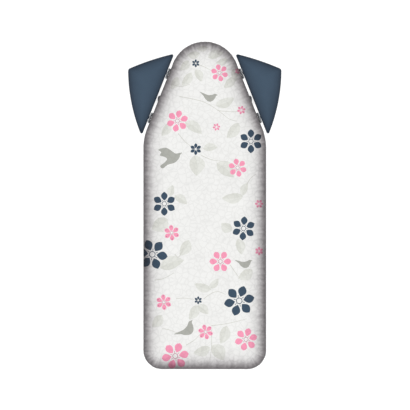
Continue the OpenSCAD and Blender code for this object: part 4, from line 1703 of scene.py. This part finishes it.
    def rivets(self) -> Piece:
        """Domed rivets that hold the hinge straps to the tray."""
        dome = [(0, 0), (0, 3.1), (0.35, 3.1), (0.75, 2.4), (1.0, 1.2), (1.05, 0)]
        head = turned("strap_rivets_right", dome, 20)
        down = Matrix.Rotation(math.radians(90), 4, "Y")
        low = self.bottom - self.strap_t + 0.00005
        spots = [(u, v + dv) for v in HINGE_PLACES for u in (0.029, 0.046) for dv in (-0.0105, 0.0105)]
        copies = [placed_copy(head, f"rivet_{i}", Matrix.Translation((u, v, low)) @ down)
                  for i, (u, v) in enumerate(spots)]
        bpy.data.objects.remove(head)
        return joined("strap_rivets_right", copies)

    def build(self) -> dict[str, list[Piece]]:
        """Builds the right wing and mirrors it.

        Returns:
            The pieces by kind, left one first.
        """
        made: dict[str, list[Piece]] = {}
        for kind, piece in (("cushion", self.cushion()), ("hem", self.turned_hem()),
                            ("piping", self.piping()), ("rivets", self.rivets())):
            name = piece.name
            left = placed_copy(piece, name.replace("right", "left"), self.board.wing_matrix(-1))
            piece.data.transform(self.board.wing_matrix(1))
            made[kind] = [left, piece]
            for one in made[kind]:
                smoothed(one, 60)
        return made


# ---------- Hard goods ----------


@dataclass
class Feet:
    """Ribbed rubber caps on the ends of the foot bars."""

    radius: float = 17.0
    bore: float = 11.05
    length: float = 34.0
    axis_z: float = 0.016
    flat_z: float = 0.00002

    def cap(self) -> Piece:
        """One cap along X from its open end, with three grip grooves and a domed end."""
        full = self.radius
        profile = [(22, 0), (22, self.bore), (0, self.bore), (0, full - 2.2), (0.8, full - 1.2),
                   (4.5, full - 1.2), (5.2, full)]
        for start in (8.0, 13.0, 18.0):
            profile += [(start, full), (start + 0.4, full - 1.3), (start + 1.8, full - 1.3),
                        (start + 2.2, full)]
        turn = np.linspace(0.15, math.pi / 2, 8)
        for a in turn:
            dome = full * (0.3 + 0.7 * math.cos(a)) if a < 1.5 else 5.1
            profile.append((self.length - 9 + 9 * math.sin(a), dome))
        profile.append((self.length, 0))
        return turned("foot_cap", profile, 56)

    def build(self, nodes: list[str]) -> list[Piece]:
        """Puts a cap at each node that it replaces.

        Args:
            nodes: The plain caps.

        Returns:
            The caps, in the same order.
        """
        cap = self.cap()
        made = []
        for node in nodes:
            low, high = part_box(node)
            side = 1 if low.x > 0 else -1
            inner = low.x if side > 0 else high.x
            place = Matrix.Translation((inner, (low.y + high.y) / 2, self.axis_z))
            place = place @ Matrix.Diagonal((side, 1, 1, 1))
            piece = placed_copy(cap, node.replace("cap", "boot"), place)
            only(piece)
            bpy.ops.object.mode_set(mode="EDIT")
            bpy.ops.mesh.select_all(action="SELECT")
            bpy.ops.mesh.bisect(plane_co=(0, 0, self.flat_z), plane_no=(0, 0, 1),
                                use_fill=True, clear_inner=True)
            bpy.ops.object.mode_set(mode="OBJECT")
            piece.data.transform(Matrix.Translation((0, 0, -self.flat_z)))
            made.append(settle(piece, 35))
        bpy.data.objects.remove(cap)
        return made


@dataclass
class Handles:
    """Shaped plastic grips on the fixed handle and on the release lever."""

    radius: float = 7.5

    def grip(self, length: float) -> Piece:
        """One grip along X with a collar, four finger grooves and a round end.

        Args:
            length: Its length in millimetres.

        Returns:
            The grip, from x = 0.
        """
        full = self.radius
        profile = [(0, 0), (0, full - 1.4), (0.8, full - 0.3), (2.0, full), (5.0, full), (6.0, full - 0.9)]
        part = np.linspace(0, 1, 41)[1:-1]
        for share in part:
            groove = 0.45 * (1 - math.cos(share * 2 * math.pi * 4))
            profile.append((6 + share * (length - 16), full - 0.9 - groove * 0.9))
        turn = np.linspace(0, math.pi / 2, 9)
        profile += [(length - 8 + 8 * math.sin(a), (full - 0.2) * math.cos(a)) for a in turn[:-1]]
        profile.append((length, 0))
        return turned("grip", profile, 36)

    def build(self, nodes: list[str]) -> list[Piece]:
        """Puts a grip at each node that it replaces.

        Args:
            nodes: The plain grips.

        Returns:
            The grips, in the same order.
        """
        made = []
        for node in nodes:
            low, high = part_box(node)
            middle = (low + high) / 2
            grip = self.grip((high.x - low.x) / MM)
            made.append(placed_copy(grip, node.replace("sleeve", "handle") + "_shaped",
                                    Matrix.Translation((low.x, middle.y, middle.z))))
            bpy.data.objects.remove(grip)
            smoothed(made[-1], 35)
        return made


@dataclass
class HingeScrews:
    """Pan-head screws with a crossed recess under the hinge brackets."""

    board: BoardPlan
    seat: float

    def head(self) -> Piece:
        """One head along X, with its recess cut by a crossed tool."""
        head = turned("screw_head", [(0, 0), (0, 3.7), (0.5, 3.75), (1.2, 3.1), (1.6, 1.6), (1.62, 0)], 28)
        only(head)
        tools = []
        for turn in (0, 90):
            spin = (math.radians(turn), 0, 0)
            bpy.ops.mesh.primitive_cube_add(size=1, location=(1.5 * MM, 0, 0), rotation=spin)
            tool = bpy.context.object
            tool.scale = (1.8 * MM, 0.75 * MM, 3.9 * MM)
            bpy.ops.object.transform_apply(location=True, rotation=True, scale=True)
            tools.append(tool)
        tool = joined("crossed_tool", tools)
        apply(head, "BOOLEAN", operation="DIFFERENCE", object=tool, solver="EXACT", use_self=True)
        bpy.data.objects.remove(tool)
        return head

    def build(self) -> Piece:
        """All eight heads as one piece."""
        head = self.head()
        down = Matrix.Rotation(math.radians(90), 4, "Y")
        copies = []
        for side in (-1, 1):
            for v in HINGE_PLACES:
                for index, dv in enumerate((-0.013, 0.013)):
                    x, y = self.board.beside(-0.015, v + dv, side)
                    twist = Matrix.Rotation(0.7 * len(copies) + index, 4, "Z")
                    place = Matrix.Translation((x, y, self.seat)) @ twist @ down
                    copies.append(placed_copy(head, f"screw_{len(copies)}", place))
        bpy.data.objects.remove(head)
        return smoothed(joined("bracket_screws", copies), 30)


@dataclass
class Welds:
    """Weld beads where a pair of leg tubes meets its bars."""

    name: str
    top: Vector
    foot: Vector
    tube_x: float
    top_r: float
    tube_r: float = 0.011
    brace_r: float = 0.008
    brace_back: float = 0.18
    bead: float = 0.0015

    def saddle(self, centre: Vector, along: Vector, x: float, bar_r: float) -> Points:
        """Loop where a leg tube at x meets a bar along X through centre."""
        aside = Vector((1, 0, 0)).cross(along)
        rows = []
        for turn in np.linspace(0, 2 * math.pi, 36, endpoint=False):
            q = self.tube_r * math.sin(turn)
            h = math.sqrt(max(bar_r**2 - q**2, 1e-8)) + 0.0003
            rows.append(centre + Vector((x + self.tube_r * math.cos(turn), 0, 0)) + aside * q + along * h)
        return np.array([tuple(row) for row in rows])

    def brace_loop(self, centre: Vector, along: Vector, side: int) -> Points:
        """Loop where the brace meets the leg tube on one side."""
        aside = Vector((1, 0, 0)).cross(along)
        rows = []
        for turn in np.linspace(0, 2 * math.pi, 30, endpoint=False):
            q = self.brace_r * math.sin(turn)
            x = self.tube_x - math.sqrt(self.tube_r**2 - q**2) - 0.0003
            h = self.brace_r * math.cos(turn)
            rows.append(centre + Vector((side * x, 0, 0)) + aside * q + along * h)
        return np.array([tuple(row) for row in rows])

    def build(self) -> Piece:
        """All beads of one pair of legs."""
        along = (self.foot - self.top).normalized()
        brace = self.foot - along * self.brace_back
        loops = []
        for side in (-1, 1):
            x = side * self.tube_x
            loops.append(self.saddle(self.foot, -along, x, self.tube_r))
            loops.append(self.saddle(self.top, along, x, self.top_r))
            loops.append(self.brace_loop(brace, along, side))
        return joined(self.name, [swept("bead", loop, self.bead, True) for loop in loops])


class NodeFinish:
    """Dresses a part of the frame: merged, softly bevelled and given its material."""

    def __init__(self) -> None:
        """Builds the node tree that clears the imported facets' normals."""
        tree = bpy.data.node_groups.new("Fresh normals", "GeometryNodeTree")
        tree.interface.new_socket("Mesh", in_out="INPUT", socket_type="NodeSocketGeometry")
        tree.interface.new_socket("Mesh", in_out="OUTPUT", socket_type="NodeSocketGeometry")
        graph = Graph(tree)
        source, target = graph.add("NodeGroupInput"), graph.add("NodeGroupOutput")
        clear = graph.add("GeometryNodeSetMeshNormal")
        tree.links.new(source.outputs[0], clear.inputs["Mesh"])
        tree.links.new(clear.outputs["Mesh"], target.inputs[0])
        self.tree = tree

    def dress(self, node: Piece, material: Material, bevel: float) -> None:
        """Adds the modifiers and the material.

        Args:
            node: The node.
            material: Its material.
            bevel: Width of its softened edges in metres.
        """
        node.modifiers.new("Weld", "WELD").merge_threshold = 1e-6
        node.modifiers.new("Normals", "NODES").node_group = self.tree
        edge = node.modifiers.new("Bevel", "BEVEL")
        edge.width = bevel
        edge.segments = 2
        edge.limit_method = "ANGLE"
        edge.angle_limit = math.radians(32)
        edge.harden_normals = True
        dress(node, material)


# ---------- Studio ----------


@dataclass(frozen=True)
class Studio:
    """Pale floor, soft light from all round and a camera straight above the board."""

    height: float = 6.25
    lens: float = 150.0
    world: float = 0.79

    def floor(self) -> Piece:
        """Wide pale floor."""
        bpy.ops.mesh.primitive_plane_add(size=14, location=(0, 0, -0.0002))
        floor = bpy.context.object
        floor.name = "studio_floor"
        material, graph, shader = fresh_material("pale floor")
        tone = graph.ramp(graph.noise(graph.place(), 2.0, 2), [(0.0, 0.8), (1.0, 0.82)])
        graph.put(shader.inputs["Base Color"], tone)
        shader.inputs["Roughness"].default_value = 0.9
        shader.inputs["Emission Color"].default_value = (1, 1, 1, 1)
        shader.inputs["Emission Strength"].default_value = 0.34
        clear = graph.add("ShaderNodeBsdfTransparent")
        seen = graph.add("ShaderNodeMixShader")
        graph.put(seen.inputs[0], graph.add("ShaderNodeNewGeometry").outputs["Backfacing"])
        graph.put(seen.inputs[1], shader.outputs[0])
        graph.put(seen.inputs[2], clear.outputs[0])
        graph.put(material.node_tree.nodes["Material Output"].inputs["Surface"], seen.outputs[0])
        return dress(floor, material)

    def lights(self) -> None:
        """World light and soft boxes that stay outside the camera's view."""
        world = bpy.data.worlds.new("Studio")
        world.use_nodes = True
        world.node_tree.nodes["Background"].inputs[0].default_value = (1, 1, 1, 1)
        world.node_tree.nodes["Background"].inputs[1].default_value = self.world
        bpy.context.scene.world = world
        boxes = (("left box", (-3.2, 1.6, 4.2), 2.4, 42), ("right box", (3.2, -0.6, 4.0), 2.4, 26),
                 ("foot box", (0.2, -3.8, 3.2), 2.2, 18))
        for name, place, size, power in boxes:
            light = bpy.data.lights.new(name, "AREA")
            light.energy = power
            light.size = size
            lamp = linked(name, light)
            lamp.location = place
            aim = Vector((0, 0, 0.7)) - Vector(place)
            lamp.rotation_euler = aim.to_track_quat("-Z", "Y").to_euler()

    def camera(self, top: float) -> None:
        """Camera above the board, with the nose up in its view."""
        data = bpy.data.cameras.new("Camera")
        data.lens = self.lens
        data.sensor_width = 36
        camera = linked("Camera", data)
        camera.location = (0.0009, 0.0016, top + self.height)
        bpy.context.scene.camera = camera
        bpy.context.scene.view_settings.view_transform = "Standard"


# ---------- Whole board ----------


class Slot(Enum):
    """Material slots of the part."""

    FRAME = "frame_paint"
    DECK = "deck_steel"
    FOAM = "foam"
    PRINT = "printed_cotton"
    NAVY = "navy_cotton"
    PLASTIC = "dark_plastic"
    RUBBER = "foot_rubber"
    LEGS = "leg_paint"
    ZINC = "zinc_steel"


class IroningBoard:
    """Everything that is seen of the ironing board."""

    def __init__(self, frame: dict) -> None:
        """Takes the frame and mixes the finishes.
        """
        self.frame = frame
        self.plan = BoardPlan()
        self.finishes = {
            Slot.FRAME: PowderCoat("frame powder coat", srgb(226, 228, 230)),
            Slot.DECK: Plated("galvanised deck", srgb(186, 189, 192), 0.4, (60.0, 60.0, 60.0), 160.0),
            Slot.FOAM: Felt(),
            Slot.PRINT: PrintedCotton(),
            # The navy cotton's second colour is its painted edge shade.
            Slot.NAVY: PlainCotton("navy cotton", srgb(69, 87, 105), srgb(38, 47, 60), 0.055),
            Slot.PLASTIC: Moulded("dark blue plastic", srgb(52, 62, 76), 0.42),
            Slot.RUBBER: Moulded("foot rubber", srgb(44, 47, 52), 0.72, 0.0004),
            Slot.LEGS: PowderCoat("leg powder coat", srgb(206, 209, 214), 0.34),
            Slot.ZINC: Plated("zinc plate", srgb(200, 203, 206)),
        }
        self.materials = {slot: finish.material() for slot, finish in self.finishes.items()}
        # The cord's second colour is the painted edge shade; with no Inset on the cord it shows in uneven
        # patches.
        cord = PlainCotton("elastic cord", srgb(214, 212, 206), srgb(170, 168, 164), 0.004, 0.0016)
        self.cord = cord.material()
        self.thread = Moulded("sewing thread", srgb(232, 230, 224), 0.8, 0.0001).material()
        self.bead = PowderCoat("painted weld", srgb(200, 203, 208), 0.42).material()

    def add(self, piece: Piece, body: str, slot: Slot, *nodes: str,
            material: Material | None = None) -> Piece:
        """Finishes one piece and hangs it on its body.

        Args:
            piece: The piece.
            body: Body it moves with.
            slot: Slot that it takes its finish from.
            nodes: Nodes it replaces.
            material: A material other than the slot's.

        Returns:
            The piece.
        """
        dress(piece, material or self.materials[slot])
        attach(piece, body)
        if nodes:
            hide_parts(*nodes)
        log.info("%s: %d faces, rides on %s", piece.name, len(piece.data.polygons), body)
        return piece

    def soft_board(self) -> None:
        """Cover, elastic, stitches, pad and deck."""
        low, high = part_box("board_cover")
        cover = PrintedCover(self.plan, high.z, low.z)
        cloth = self.add(cover.build(floral_print()), "board", Slot.PRINT, "board_cover")
        elastic = self.add(cover.elastic(), "board", Slot.PRINT, material=self.cord)
        stitches = self.add(cover.stitches(), "board", Slot.PRINT, material=self.thread)
        loop = cover.ring.offset(cover.hem_end - cover.round_in)
        pad_low, pad_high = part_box("foam_pad")
        pad = FeltPad(self.plan, pad_low.z, pad_high.z - CLEAR).build()
        pad = self.add(pad, "board", Slot.FOAM, "foam_pad")
        deck_low, deck_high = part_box("deck_sheet")
        self.add(MeshDeck(self.plan, deck_low.z, deck_high.z).build(), "board", Slot.DECK, "deck_sheet")

    def wings(self) -> None:
        """Both wings."""
        low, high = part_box("wing_cover_right")
        wings = Wings(self.plan, low.z, high.z)
        made = wings.build()
        length = wings.plan.ring(0.002).length
        for index, side in enumerate(("left", "right")):
            body = f"wing_{side}"
            cushion = self.add(made["cushion"][index], body, Slot.NAVY,
                               f"wing_foam_{side}", f"wing_cover_{side}")
            piping = self.add(made["piping"][index], body, Slot.NAVY)
            hem = self.add(made["hem"][index], body, Slot.NAVY)
            self.add(made["rivets"][index], body, Slot.ZINC)

    def hardware(self) -> None:
        """Feet, grips, screws and weld beads."""
        for leg, body in (("rear", "outer_leg"), ("front", "inner_leg")):
            nodes = [f"{leg}_foot_cap_{side}" for side in ("left", "right")]
            for piece, node in zip(Feet().build(nodes), nodes):
                self.add(piece, body, Slot.RUBBER, node)
        nodes = ["grip_bar_sleeve", "lever_grip"]
        for piece, body, node in zip(Handles().build(nodes), ("carriage", "lever"), nodes):
            self.add(piece, body, Slot.PLASTIC, node)
        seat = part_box("hinge_screws")[1].z
        self.add(HingeScrews(self.plan, seat).build(), "board", Slot.ZINC, "hinge_screws")
        bars = ("pivot_bolt", "rear_foot_bar", "slide_bar", "front_foot_bar")
        middle = {name: sum(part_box(name), Vector()) / 2 for name in bars}
        for spot in middle.values():
            spot.x = 0
        outer = Welds("outer_leg_welds", middle["pivot_bolt"], middle["rear_foot_bar"], 0.062, 0.0125)
        inner = Welds("inner_leg_welds", middle["slide_bar"], middle["front_foot_bar"], 0.034, 0.011)
        self.add(outer.build(), "outer_leg", Slot.LEGS, material=self.bead)
        self.add(inner.build(), "inner_leg", Slot.LEGS, material=self.bead)

    def frame_nodes(self) -> None:
        """Materials and softened edges of every node that stays."""
        finish = NodeFinish()
        slots = {slot.value: slot for slot in Slot}
        for name, node in self.frame["nodes"].items():
            slot = slots[node.material_slots[0].material.name.split(".")[0]]
            bevel = 0.0002 if name in ("clutch_spring", "hinge_washers") else 0.0004
            finish.dress(node, self.materials[slot], bevel)
            log.info("%s: %s", name, slot.value)

    def build(self) -> None:
        """Builds the whole board."""
        self.frame_nodes()
        self.soft_board()
        self.wings()
        self.hardware()


def main() -> None:
    """Builds the scene round the loaded frame."""
    logging.basicConfig(level=logging.INFO, format="%(message)s")
    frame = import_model()
    deselect()
    studio = Studio()
    studio.camera(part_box("board_cover")[1].z)
    studio.lights()
    IroningBoard(frame).build()
    studio.floor()
    deselect()


if __name__ == "__main__":
    main()
